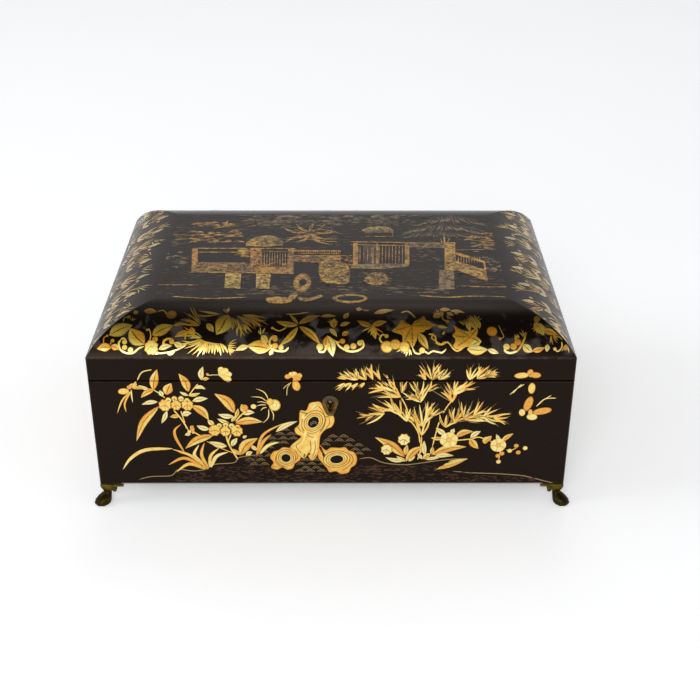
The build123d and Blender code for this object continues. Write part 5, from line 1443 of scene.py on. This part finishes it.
def gold_powder(name, colours, dull=0.0, thin=0.0, coat=0.3, tint=((0.0, "#FFFFFF"), (1.0, "#FFFFFF"))):
    """Two colours of gold powder strewn on raised lacquer, drawn over with brown and varnished.

    The tint is given by its colours from the arris up to the lid's top, and is painted shade where it
    darkens the gold.
    """
    # The eye gets soft metal from cream to orange, brown veins, rubbed spots and a thin glassy coat
    material, put = new_material(name)
    mark = put("Attribute", attribute_name="stroke", out="Color")
    vein = put("Attribute", attribute_name="stroke", out="Alpha")
    u, v, tone = put("SeparateColor", mark, out=None)
    place = put("TexCoord", out="Object")
    lean = put("Math", v, 0.5, operation="SUBTRACT")
    side = put("Math", lean, operation="ABSOLUTE")
    veined = put("MapRange", vein, 0.72, 0.78)
    edged = put("MapRange", vein, 0.22, 0.28)
    petals = put("Math", edged, veined, operation="SUBTRACT")
    # A leaf is darker on one half, cloudy all over, and changes toward its sides and its tip
    cloud = put("TexNoise", place, per(6), 4.0, 0.6)
    lean = put("Math", lean, veined, operation="MULTIPLY")
    shade = put("Math", lean, -0.75, tone, operation="MULTIPLY_ADD")
    clouded = put("Math", cloud, 0.5, operation="SUBTRACT")
    shade = put("Math", clouded, 1.3, shade, operation="MULTIPLY_ADD")
    for part, where, weight in ((side, petals, 0.7), (side, veined, -0.4), (u, veined, -0.2)):
        part = put("Math", part, where, operation="MULTIPLY")
        shade = put("Math", part, weight, shade, operation="MULTIPLY_ADD")
    golds = (
        (0.0, colours.gold_pale),
        (0.28, hex_colour("#FBE086")),
        (0.52, hex_colour("#FACF66")),
        (1.0, colours.gold_orange),
    )
    gold = put("ValToRGB", shade, stops=golds)
    # Where the tint by height is darker, it is painted shade
    height = put("SeparateXYZ", place, out="Z")
    height = put("MapRange", height, ARRIS * MM, LID_TOP * MM)
    tinted = put("ValToRGB", height, stops=[(at, hex_colour(text)) for at, text in tint])
    gold = put("Mix", 1.0, gold, tinted, data_type="RGBA", blend_type="MULTIPLY")
    # Thin grey gold, earth and the veins' brown are colours of their own
    for start, colour in ((1.2, "#A58A5A"), (1.7, "#4E3222"), (2.2, "#7C5A1C")):
        past = put("MapRange", tone, start, start + 0.1)
        gold = put("Mix", past, gold, hex_colour(colour), data_type="RGBA")
    # A midrib and slanting side veins, a petal's rays and a darker rim
    rib = put("MapRange", side, 0.055, 0.03)
    slant = put("Math", side, -22.0, operation="MULTIPLY")
    slant = put("Math", u, 46.0, slant, operation="MULTIPLY_ADD")
    lines = put("Math", slant, operation="SINE")
    lines = put("MapRange", lines, 0.72, 0.95, 0.0, 0.45)
    ribs = put("Math", rib, lines, operation="MAXIMUM")
    ribs = put("Math", ribs, veined, operation="MULTIPLY")
    rays = put("Math", v, 30.0, operation="MULTIPLY")
    rays = put("Math", rays, operation="SINE")
    rays = put("MapRange", rays, 0.6, 0.95, 0.0, 0.5)
    for where in (put("MapRange", u, 0.75, 0.2), petals):
        rays = put("Math", rays, where, operation="MULTIPLY")
    flank = put("MapRange", side, 0.4, 0.47)
    tip = put("MapRange", u, 0.93, 0.985)
    rim = put("Math", flank, tip, operation="MAXIMUM")
    for where in (edged, 0.55):
        rim = put("Math", rim, where, operation="MULTIPLY")
    drawn = put("Math", ribs, rays, operation="MAXIMUM")
    drawn = put("Math", drawn, rim, operation="MAXIMUM")
    rubbed = put("TexNoise", place, per(2.4), 5.0, 0.65)
    rubbed = put("MapRange", rubbed, 0.6, 0.74, 0.0, 0.5)
    worn = put("TexNoise", place, per(3.3), 6.0, 0.75, None, 0.5)
    places = put("TexNoise", place, per(24), 3.0, 0.6)
    worn = put("Math", places, 0.4, worn, operation="MULTIPLY_ADD")
    worn = put("MapRange", worn, 0.6, 0.8, 0.0, thin)
    # The dull share is painted shade: it browns a whole piece and, further down, takes from its metal
    # shine; the rubbed and worn shares are wear
    for share, colour in ((drawn, "#7A4516"), (rubbed, "#6B4419"), (dull, "#4A3A22"), (worn, "#1C1812")):
        gold = put("Mix", share, gold, hex_colour(colour), data_type="RGBA")
    # Ink is drawn black and shines back nothing under the varnish
    ink = put("Math", tone, -0.4, operation="LESS_THAN")
    gold = put("Mix", ink, gold, grey(0.001), data_type="RGBA")
    covered = put("Math", ink, 0.92 - dull, operation="MAXIMUM")
    rough = put("ValToRGB", cloud, stops=((0.3, grey(0.3)), (0.7, grey(0.46))))
    powder = put("TexNoise", place, per(0.7), 2.0)
    shader = put(
        "BsdfPrincipled",
        Base_Color=gold,
        Metallic=covered,
        Roughness=rough,
        Coat_Weight=coat,
        Coat_Roughness=0.16,
        Normal=put("Bump", Height=powder, Strength=0.25, Distance=0.1 * MM),
    )
    put("OutputMaterial", shader)
    return material


def metal(name, high, low, rough, dark=None):
    """Cast, rolled or filed metal, tarnished by age."""
    # The eye gets a soft metal gleam, brown in its hollows; a cast foot's paw is darker than its knee
    material, put = new_material(name)
    place = put("TexCoord", out="Object")
    tarnish = put("TexNoise", place, per(6), 5.0, 0.65, None, 0.4)
    colour = put("ValToRGB", tarnish, stops=((0.3, hex_colour(low)), (0.62, hex_colour(high))))
    if dark:
        shadow, start, end = dark
        height = put("SeparateXYZ", place, out="Z")
        share = put("MapRange", height, start * MM, end * MM, 0.0, 0.8)
        colour = put("Mix", share, colour, hex_colour(shadow), data_type="RGBA")
    dulled = put("ValToRGB", tarnish, stops=((0.3, grey(min(rough + 0.2, 1.0))), (0.7, grey(rough))))
    pits = put("TexNoise", place, per(1.1), 4.0)
    normal = put("Bump", Height=pits, Strength=0.3, Distance=0.2 * MM)
    shader = put("BsdfPrincipled", Base_Color=colour, Metallic=1.0, Roughness=dulled, Normal=normal)
    put("OutputMaterial", shader)
    return material


def bone():
    """Bone, turned and waxed."""
    # The eye gets ivory white with fine brown pores along the grain and a low wax gloss
    material, put = new_material("Turned bone")
    place = put("TexCoord", out="Object")
    along = put("Mapping", place, Scale=(per(1.1), per(1.1), per(5.5)))
    pores = put("TexNoise", along, 1.0, 3.0, 0.6)
    colour = put("ValToRGB", pores, stops=((0.3, hex_colour("#B79E74")), (0.5, hex_colour("#E6DABB"))))
    normal = put("Bump", Height=pores, Strength=0.1, Distance=0.1 * MM)
    shader = put("BsdfPrincipled", Base_Color=colour, Roughness=0.35, IOR=1.54, Normal=normal)
    put("OutputMaterial", shader)
    return material


def velvet(colours):
    """Silk velvet, woven with a cut pile, over stuffing."""
    # The eye gets a deep red, brushed lighter and darker, with a pale bloom at glancing angles
    material, put = new_material("Silk velvet")
    place = put("TexCoord", out="Object")
    # The pile is finer than this; it is drawn this coarse so that it shows
    pile = put("TexNoise", place, per(0.7), 3.0, 0.7)
    brushed = put("TexNoise", place, per(17), 3.0, 0.6, None, 0.6)
    colour = put("Mix", brushed, darker(colours.velvet, 0.35), colours.velvet, data_type="RGBA")
    lit = put("MapRange", pile, 0.4, 0.7)
    colour = put("Mix", lit, colour, colours.velvet, data_type="RGBA")
    shader = put(
        "BsdfPrincipled",
        Base_Color=colour,
        Roughness=0.9,
        Sheen_Weight=0.2,
        Sheen_Roughness=0.4,
        Specular_IOR_Level=0.1,
        Normal=put("Bump", Height=pile, Strength=0.4, Distance=0.4 * MM),
    )
    put("OutputMaterial", shader)
    return material


def floor_paper(colours):
    """Seamless studio paper, calendered matt."""
    # The eye gets white that keeps the object's shadow, with the faintest mottle
    material, put = new_material("White studio paper")
    place = put("TexCoord", out="Object")
    mottle = put("TexNoise", place, per(170), 3.0)
    colour = put("Mix", mottle, darker(colours.floor, 0.97), colours.floor, data_type="RGBA")
    paper = put("BsdfPrincipled", Base_Color=colour, Roughness=0.95, Specular_IOR_Level=0.1)
    # It is lifted to white where it is seen, straight, mirrored or through glass, and lights nothing
    seen = put("LightPath", out="Is Camera Ray")
    for kind in ("Glossy", "Transmission"):
        seen = put("Math", seen, put("LightPath", out=f"Is {kind} Ray"), operation="MAXIMUM")
    seen = put("Math", seen, 0.3, operation="MULTIPLY")
    put("OutputMaterial", put("AddShader", paper, put("Emission", grey(1.0), seen)))
    return material


class SEWINGBOX_OT_finishes(bpy.types.Operator):
    """Give the lacquered boards, the brass, the steel and the bone their finishes"""

    bl_idname = "sewingbox.finishes"
    bl_label = "Finishes"

    def execute(self, context):
        colours = context.scene.sewing_box_colours
        plate_low, plate_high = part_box("escutcheon")
        # The escutcheon is painted dark grey from its middle up, as a painted reflection of the dark above
        # it
        escutcheon_reflection = ("#4C463E", plate_low.z / MM + 8.5, plate_high.z / MM - 1.5)
        finish = {
            "black_lacquer": lacquer(colours),
            "cast_brass": metal("Cast brass, browned", "#75621F", "#2A2410", 0.36, ("#14120C", 12.5, 8.5)),
            # The darkened brass carries the escutcheon's painted reflection from its middle up
            "dark_brass": metal("Brass darkened by handling", "#7C5E30", "#33261A", 0.32, escutcheon_reflection),
            "yellow_brass": metal("Rolled brass, filed", "#C9A24A", "#7A5E26", 0.3),
            "steel": metal("Steel, filed bright", "#A39C90", "#4A443E", 0.34),
            "turned_bone": bone(),
            "velvet": velvet(colours),
        }
        slots = {row["node"]: row["material_slot"] for row in frame["record"]["subparts"]}
        for name, piece in frame["nodes"].items():
            slot = slots.get(name)
            if slot not in finish:
                raise RuntimeError(f"{name} has no finish: {slot}")
            piece.data.materials.clear()
            piece.data.materials.append(finish[slot])
        return {"FINISHED"}


# How far the gilding stays from the edges of a face, in millimetres: from the ends of a wall, from the
# case's lower edge, from the joint under the lid, from the arris and from the corners of the lid
WALL_END, WALL_FOOT, WALL_SEAM, BAND_TOP, CORNER = 2.0, 1.6, 0.1, 1.0, 1.4
# A motif on an end wall is left out whole if it comes nearer than this to where the gilding stops
MOTIF_CLEAR = 4.0
# Where the shoulder's gilding starts above the arris, and stops before its top, at the back and elsewhere
SHOULDER_FOOT, SHOULDER_BACK_STOP, SHOULDER_STOP = 0.8, 20.0, 2.5
# How much higher than on the walls the shoulder's gilding stands, so that it clears the bend
SHOULDER_MORE = 0.1
# How far the top's scene runs over the front edge of the flat, and over its other edges
TOP_OVER, TOP_OVER_ENDS = 9.0, 1.0


class SEWINGBOX_OT_gild_walls(bpy.types.Operator):
    """Paint the four upright sides of the case and of the lid's band"""

    bl_idname = "sewingbox.gild_walls"
    bl_label = "Gilded walls"

    def execute(self, context):
        sizes = context.scene.sewing_box_sizes
        material = gold_powder("Strewn gold powder, walls", context.scene.sewing_box_colours)
        proud = sizes.gold_proud / MM
        for side, face in FACES.items():
            half = face.run - WALL_END
            art = Drawing(seed=3)
            if side in LONG_SIDES:
                art.mirror = -1.0 if side == "back" else 1.0
                draw_front(art)
            else:
                draw_end(art)
                keep_whole(art.bm, half - MOTIF_CLEAR)
            onto = lambda co, face=face: face.flat(co, proud)
            cuts = (below(SEAM - WALL_SEAM), above(CASE_BASE + WALL_FOOT), *within(half))
            lay(art, f"gilding_case_{side}", onto, "case", material, sizes, cuts)
            cuts = (above(LID_UNDER + WALL_SEAM), below(ARRIS - BAND_TOP), *within(half))
            lay(art, f"gilding_band_{side}", onto, "lid", material, sizes, cuts)
            art.bm.free()
        return {"FINISHED"}


class SEWINGBOX_OT_gild_shoulders(bpy.types.Operator):
    """Paint the curved shoulders of the lid"""

    bl_idname = "sewingbox.gild_shoulders"
    bl_label = "Gilded shoulders"

    def execute(self, context):
        sizes = context.scene.sewing_box_sizes
        colours = context.scene.sewing_box_colours
        # Painted shade: the long shoulders' gold is tinted darker and browner toward the top, where the
        # curve turns up away from the light
        browned = ((0.14, "#FFFFFF"), (0.4, "#FFF6B4"), (0.62, "#FFEE8C"), (0.82, "#90844C"))
        long_gold = gold_powder("Strewn gold powder, shoulders", colours, 0.0, 0.2, 0.5, browned)
        # The end shoulders get a duller, paler-tinted copy of the gold as painted shade, for faces seen at
        # a glance; their worn spots are wear
        even = ((0.0, "#FFF4E2"), (1.0, "#FFF4E2"))
        end_gold = gold_powder("Strewn gold powder, end shoulders", colours, 0.2, 0.66, 0.7, even)
        arc = Arc(sizes)
        proud = sizes.gold_proud / MM + SHOULDER_MORE
        for side, face in FACES.items():
            art = Drawing(seed=11)
            if side == "back":
                art.mirror, art.squeeze = -1.0, BACK_SQUEEZE
            if side in LONG_SIDES:
                draw_shoulder(art)
            else:
                draw_end_shoulder(art, HALF_DEPTH)
            crease(art.bm, 2.0, arc.length)
            onto = lambda co, face=face: face.shoulder(co, proud, arc)
            corners = []
            for end in (1, -1):
                corner = (face.along * end * (face.run - CORNER) + face.out * face.half) * MM
                corners.append((corner, (face.along * end - face.out).normalized()))
            stop = SHOULDER_BACK_STOP if side == "back" else SHOULDER_STOP
            cuts = (above(SHOULDER_FOOT), below(arc.length - stop))
            material = long_gold if side in LONG_SIDES else end_gold
            lay(art, f"gilding_shoulder_{side}", onto, "lid", material, sizes, cuts, corners)
            art.bm.free()
        return {"FINISHED"}


class SEWINGBOX_OT_gild_top(bpy.types.Operator):
    """Paint the scene on the lid's flat top"""

    bl_idname = "sewingbox.gild_top"
    bl_label = "Gilded top"

    def execute(self, context):
        sizes = context.scene.sewing_box_sizes
        # The top's gold is tinted browner and dulled: partly wear, and partly painted shade for the flat
        # seen at a glance
        browned = ((0.0, "#ECDAAC"), (1.0, "#ECDAAC"))
        colours = context.scene.sewing_box_colours
        material = gold_powder("Rubbed gold powder, top", colours, 0.26, 0.9, 0.15, browned)
        art = Drawing(seed=5)
        draw_top(art)
        proud = sizes.gold_proud / MM
        arc = Arc(sizes)
        edge = arc.inset - HALF_DEPTH

        def onto(co):
            """Onto the flat top, and over its front edge down the shoulder."""
            turn = max(edge - co.y, 0.0) / arc.radius
            reach = arc.radius + proud + co.z
            down = max(co.y, edge) - reach * math.sin(turn)
            return Vector((co.x, down, LID_TOP - arc.radius + reach * math.cos(turn))) * MM

        first = arc.inset - TOP_OVER - HALF_DEPTH
        crease(art.bm, first, edge)
        inset = arc.inset - TOP_OVER_ENDS
        cuts = (*within(HALF_LENGTH - inset), above(first), below(HALF_DEPTH - inset))
        lay(art, "gilding_top", onto, "lid", material, sizes, cuts)
        art.bm.free()
        return {"FINISHED"}


class SEWINGBOX_OT_gild_inside(bpy.types.Operator):
    """Paint the small lids of the tray"""

    bl_idname = "sewingbox.gild_inside"
    bl_label = "Gilded small lids"

    def execute(self, context):
        sizes = context.scene.sewing_box_sizes
        material = gold_powder("Strewn gold powder, small lids", context.scene.sewing_box_colours)
        for side in ("left", "right"):
            for row in ("front", "middle", "back"):
                board = f"compartment_lid_{side}_{row}"
                low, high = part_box(board)
                art = Drawing(seed=17)
                draw_small_lid(art, (high.x - low.x) / 2 / MM, (high.y - low.y) / 2 / MM)
                middle = (low + high) / 2
                top = high.z + sizes.gold_proud
                onto = lambda co, at=middle, top=top: Vector(
                    (at.x + co.x * MM, at.y + co.y * MM, top + co.z * MM)
                )
                lay(art, f"gilding_small_lid_{side}_{row}", onto, board, material, sizes)
                art.bm.free()
        return {"FINISHED"}


# The pincushion starts at this share of its space, its sides pulled in and its top edge lower
CUSHION_START = 0.93
CUSHION_PULL = 0.05
CUSHION_EDGE = 0.3
# Stuffing pushes its cloth out for this many frames
CUSHION_PRESSURE = 4.0
CUSHION_FRAMES = 20
# How far its cloth may move and how far it stays from its space's sides, in millimetres
CUSHION_CAP = 5.0
CUSHION_CLEAR = 0.3
# How much of its underside is pressed flat on the well's floor, in millimetres
CUSHION_PRESSED = 2.0


def mesh_now(piece):
    """A copy of the piece's mesh as its modifiers leave it now."""
    graph = bpy.context.evaluated_depsgraph_get()
    graph.update()
    return bpy.data.meshes.new_from_object(piece.evaluated_get(graph))


class SEWINGBOX_OT_cushion(bpy.types.Operator):
    """Stuff the pincushion that stands in the tray's front well"""

    bl_idname = "sewingbox.cushion"
    bl_label = "Pincushion"

    def execute(self, context):
        scene = context.scene
        sizes = scene.sewing_box_sizes
        low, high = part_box("pincushion")
        piece = new_piece("pincushion_cover", self.block((low + high) / 2, (high - low) / 2))
        context.view_layer.objects.active = piece
        remesh = piece.modifiers.new("cells", "REMESH")
        remesh.mode = "VOXEL"
        remesh.voxel_size = sizes.cushion_voxel
        cover = mesh_now(piece)
        cover = self.stuffed(scene, piece, cover)
        piece.modifiers.clear()
        piece.data = self.seated(cover, low, high)
        smooth = piece.modifiers.new("round", "SUBSURF")
        smooth.levels = smooth.render_levels = 1
        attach(piece, "tray")
        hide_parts("pincushion")
        return {"FINISHED"}

    def block(self, middle, reach):
        """A slack cushion: a block with its sides pulled in and its top swelling to the middle."""
        bm = bmesh.new()
        bmesh.ops.create_cube(bm, size=2.0)
        bmesh.ops.subdivide_edges(bm, edges=bm.edges[:], cuts=9, use_grid_fill=True)
        for vert in bm.verts:
            x, y, z = vert.co
            bulge = (1 - x * x) * (1 - y * y)
            pull = 1 - CUSHION_PULL * (1 - y * y if abs(x) > abs(y) else 1 - x * x)
            up = z * (CUSHION_EDGE + (1 - CUSHION_EDGE) * bulge) if z > 0 else z
            side = CUSHION_START * pull
            vert.co = Vector((x * reach.x * side, y * reach.y * side, up * reach.z * CUSHION_START))
        bmesh.ops.smooth_vert(bm, verts=bm.verts[:], factor=0.5)
        bmesh.ops.translate(bm, verts=bm.verts[:], vec=middle)
        return bm

    def stuffed(self, scene, piece, slack):
        """The cushion's mesh after the cloth is blown up, with no place moved too far."""
        cloth = piece.modifiers.new("stuffing", "CLOTH")
        cloth.settings.use_pressure = True
        cloth.settings.uniform_pressure_force = CUSHION_PRESSURE
        cloth.settings.effector_weights.gravity = 0.0
        for number in range(1, CUSHION_FRAMES + 1):
            scene.frame_set(number)
        full = mesh_now(piece)
        piece.modifiers.clear()
        scene.frame_set(1)
        for before, after in zip(slack.vertices, full.vertices):
            step = after.co - before.co
            if step.length > CUSHION_CAP * MM:
                step.length = CUSHION_CAP * MM
            after.co = before.co + step
        return full

    def seated(self, cover, low, high):
        """The cushion's mesh, smoothed, fitted to its space and pressed flat on the floor."""
        bm = bmesh.new()
        bm.from_mesh(cover)
        for _ in range(3):
            bmesh.ops.smooth_vert(bm, verts=bm.verts[:], factor=0.5)
        clear = Vector((1.0, 1.0, 1.0)) * CUSHION_CLEAR * MM
        least, most = low + clear, high - clear
        for i, pressed in enumerate((0.0, 0.0, CUSHION_PRESSED * MM)):
            places = [vert.co[i] for vert in bm.verts]
            first, last = min(places), max(places)
            share = (most[i] - least[i] + pressed) / (last - first)
            for vert in bm.verts:
                vert.co[i] = max(most[i] - (last - vert.co[i]) * share, least[i])
        made = bpy.data.meshes.new("pincushion_cover")
        bm.to_mesh(made)
        bm.free()
        made.polygons.foreach_set("use_smooth", [True] * len(made.polygons))
        made.materials.append(bpy.data.materials["Silk velvet"])
        return made


FLOOR_RADIUS = 9.0
# The light from the room by height: bright near the horizon and dim overhead, as under a low row of
# soft windows
SKY = ((0.0, 0.9), (0.5, 0.84), (0.68, 0.27), (0.86, 0.19), (0.92, 0.09), (1.0, 0.09))
# Round soft lamps: name, place, width and power; all look at the middle of the box
LAMPS = (
    ("soft_front", (-0.4, -2.5, 1.75), 1.6, 34.0),
    ("soft_left", (-2.2, -0.2, 1.5), 1.6, 12.0),
    ("soft_back", (0.1, 1.6, 2.4), 1.2, 6.0),
)
LAMPS_LOOK_AT = (0.0, 0.0, 0.08)
# The camera as fitted to the box's edges in the photograph: place, lens, and pitch, yaw and roll in degrees
CAMERA_AT = (0.00947, -0.8933, 0.5696)
CAMERA_LENS = 62.17
CAMERA_TURNS = (29.403, 0.31, -0.158)


class SEWINGBOX_OT_stage(bpy.types.Operator):
    """Set up the paper floor, the soft light and the camera"""

    bl_idname = "sewingbox.stage"
    bl_label = "Floor, light and camera"

    def execute(self, context):
        scene = context.scene
        bm = bmesh.new()
        bmesh.ops.create_circle(bm, cap_ends=True, segments=64, radius=FLOOR_RADIUS)
        floor = new_piece("studio_floor", bm)
        floor.data.materials.append(floor_paper(scene.sewing_box_colours))

        world = bpy.data.worlds.new("studio")
        scene.world = world
        world.use_nodes = True
        world.node_tree.nodes.clear()
        put = partial(add, world.node_tree)
        height = put("SeparateXYZ", put("TexCoord", out="Generated"), out="Z")
        room = put("ValToRGB", height, stops=[(at, grey(bright)) for at, bright in SKY])
        put("OutputWorld", put("Background", room, 1.0))

        for name, at, size, power in LAMPS:
            data = bpy.data.lights.new(name, "AREA")
            data.shape = "DISK"
            data.size = size
            data.energy = power
            lamp = bpy.data.objects.new(name, data)
            lamp.location = at
            ahead = Vector(LAMPS_LOOK_AT) - Vector(at)
            lamp.rotation_euler = ahead.to_track_quat("-Z", "Y").to_euler()
            scene.collection.objects.link(lamp)

        data = bpy.data.cameras.new("camera")
        data.lens = CAMERA_LENS
        data.sensor_width = 36.0
        camera = bpy.data.objects.new("camera", data)
        scene.collection.objects.link(camera)
        pitch, yaw, roll = (math.radians(a) for a in CAMERA_TURNS)
        flat = Vector((math.sin(yaw), math.cos(yaw), 0.0)) * math.cos(pitch)
        ahead = flat - Vector((0.0, 0.0, math.sin(pitch)))
        right = Vector((math.cos(yaw), -math.sin(yaw), 0.0))
        down = ahead.cross(right)
        across = right * math.cos(roll) + down * math.sin(roll)
        lower = down * math.cos(roll) - right * math.sin(roll)
        turned = Matrix((across, -lower, -ahead)).transposed().to_4x4()
        camera.matrix_world = Matrix.Translation(CAMERA_AT) @ turned
        scene.camera = camera
        scene.view_settings.view_transform = "Standard"
        return {"FINISHED"}


class SEWINGBOX_PT_panel(bpy.types.Panel):
    """The steps that dress the sewing box"""

    bl_label = "Sewing box"
    bl_idname = "SEWINGBOX_PT_panel"
    bl_space_type = "VIEW_3D"
    bl_region_type = "UI"
    bl_category = "Sewing box"

    def draw(self, context):
        for step in STEPS:
            self.layout.operator(step.bl_idname)
        for group in (context.scene.sewing_box_sizes, context.scene.sewing_box_colours):
            for key in group.__annotations__:
                self.layout.prop(group, key)


STEPS = (
    SEWINGBOX_OT_stage,
    SEWINGBOX_OT_finishes,
    SEWINGBOX_OT_gild_walls,
    SEWINGBOX_OT_gild_shoulders,
    SEWINGBOX_OT_gild_top,
    SEWINGBOX_OT_gild_inside,
    SEWINGBOX_OT_cushion,
)
CLASSES = (SewingBoxSizes, SewingBoxColours, *STEPS, SEWINGBOX_PT_panel)


def register():
    for cls in CLASSES:
        bpy.utils.register_class(cls)
    bpy.types.Scene.sewing_box_sizes = bpy.props.PointerProperty(type=SewingBoxSizes)
    bpy.types.Scene.sewing_box_colours = bpy.props.PointerProperty(type=SewingBoxColours)


def unregister():
    del bpy.types.Scene.sewing_box_colours
    del bpy.types.Scene.sewing_box_sizes
    for cls in reversed(CLASSES):
        bpy.utils.unregister_class(cls)


def main():
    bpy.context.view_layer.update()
    register()
    for step in STEPS:
        group, name = step.bl_idname.split(".")
        getattr(getattr(bpy.ops, group), name)()
    bpy.context.view_layer.update()


if __name__ == "__main__":
    main()
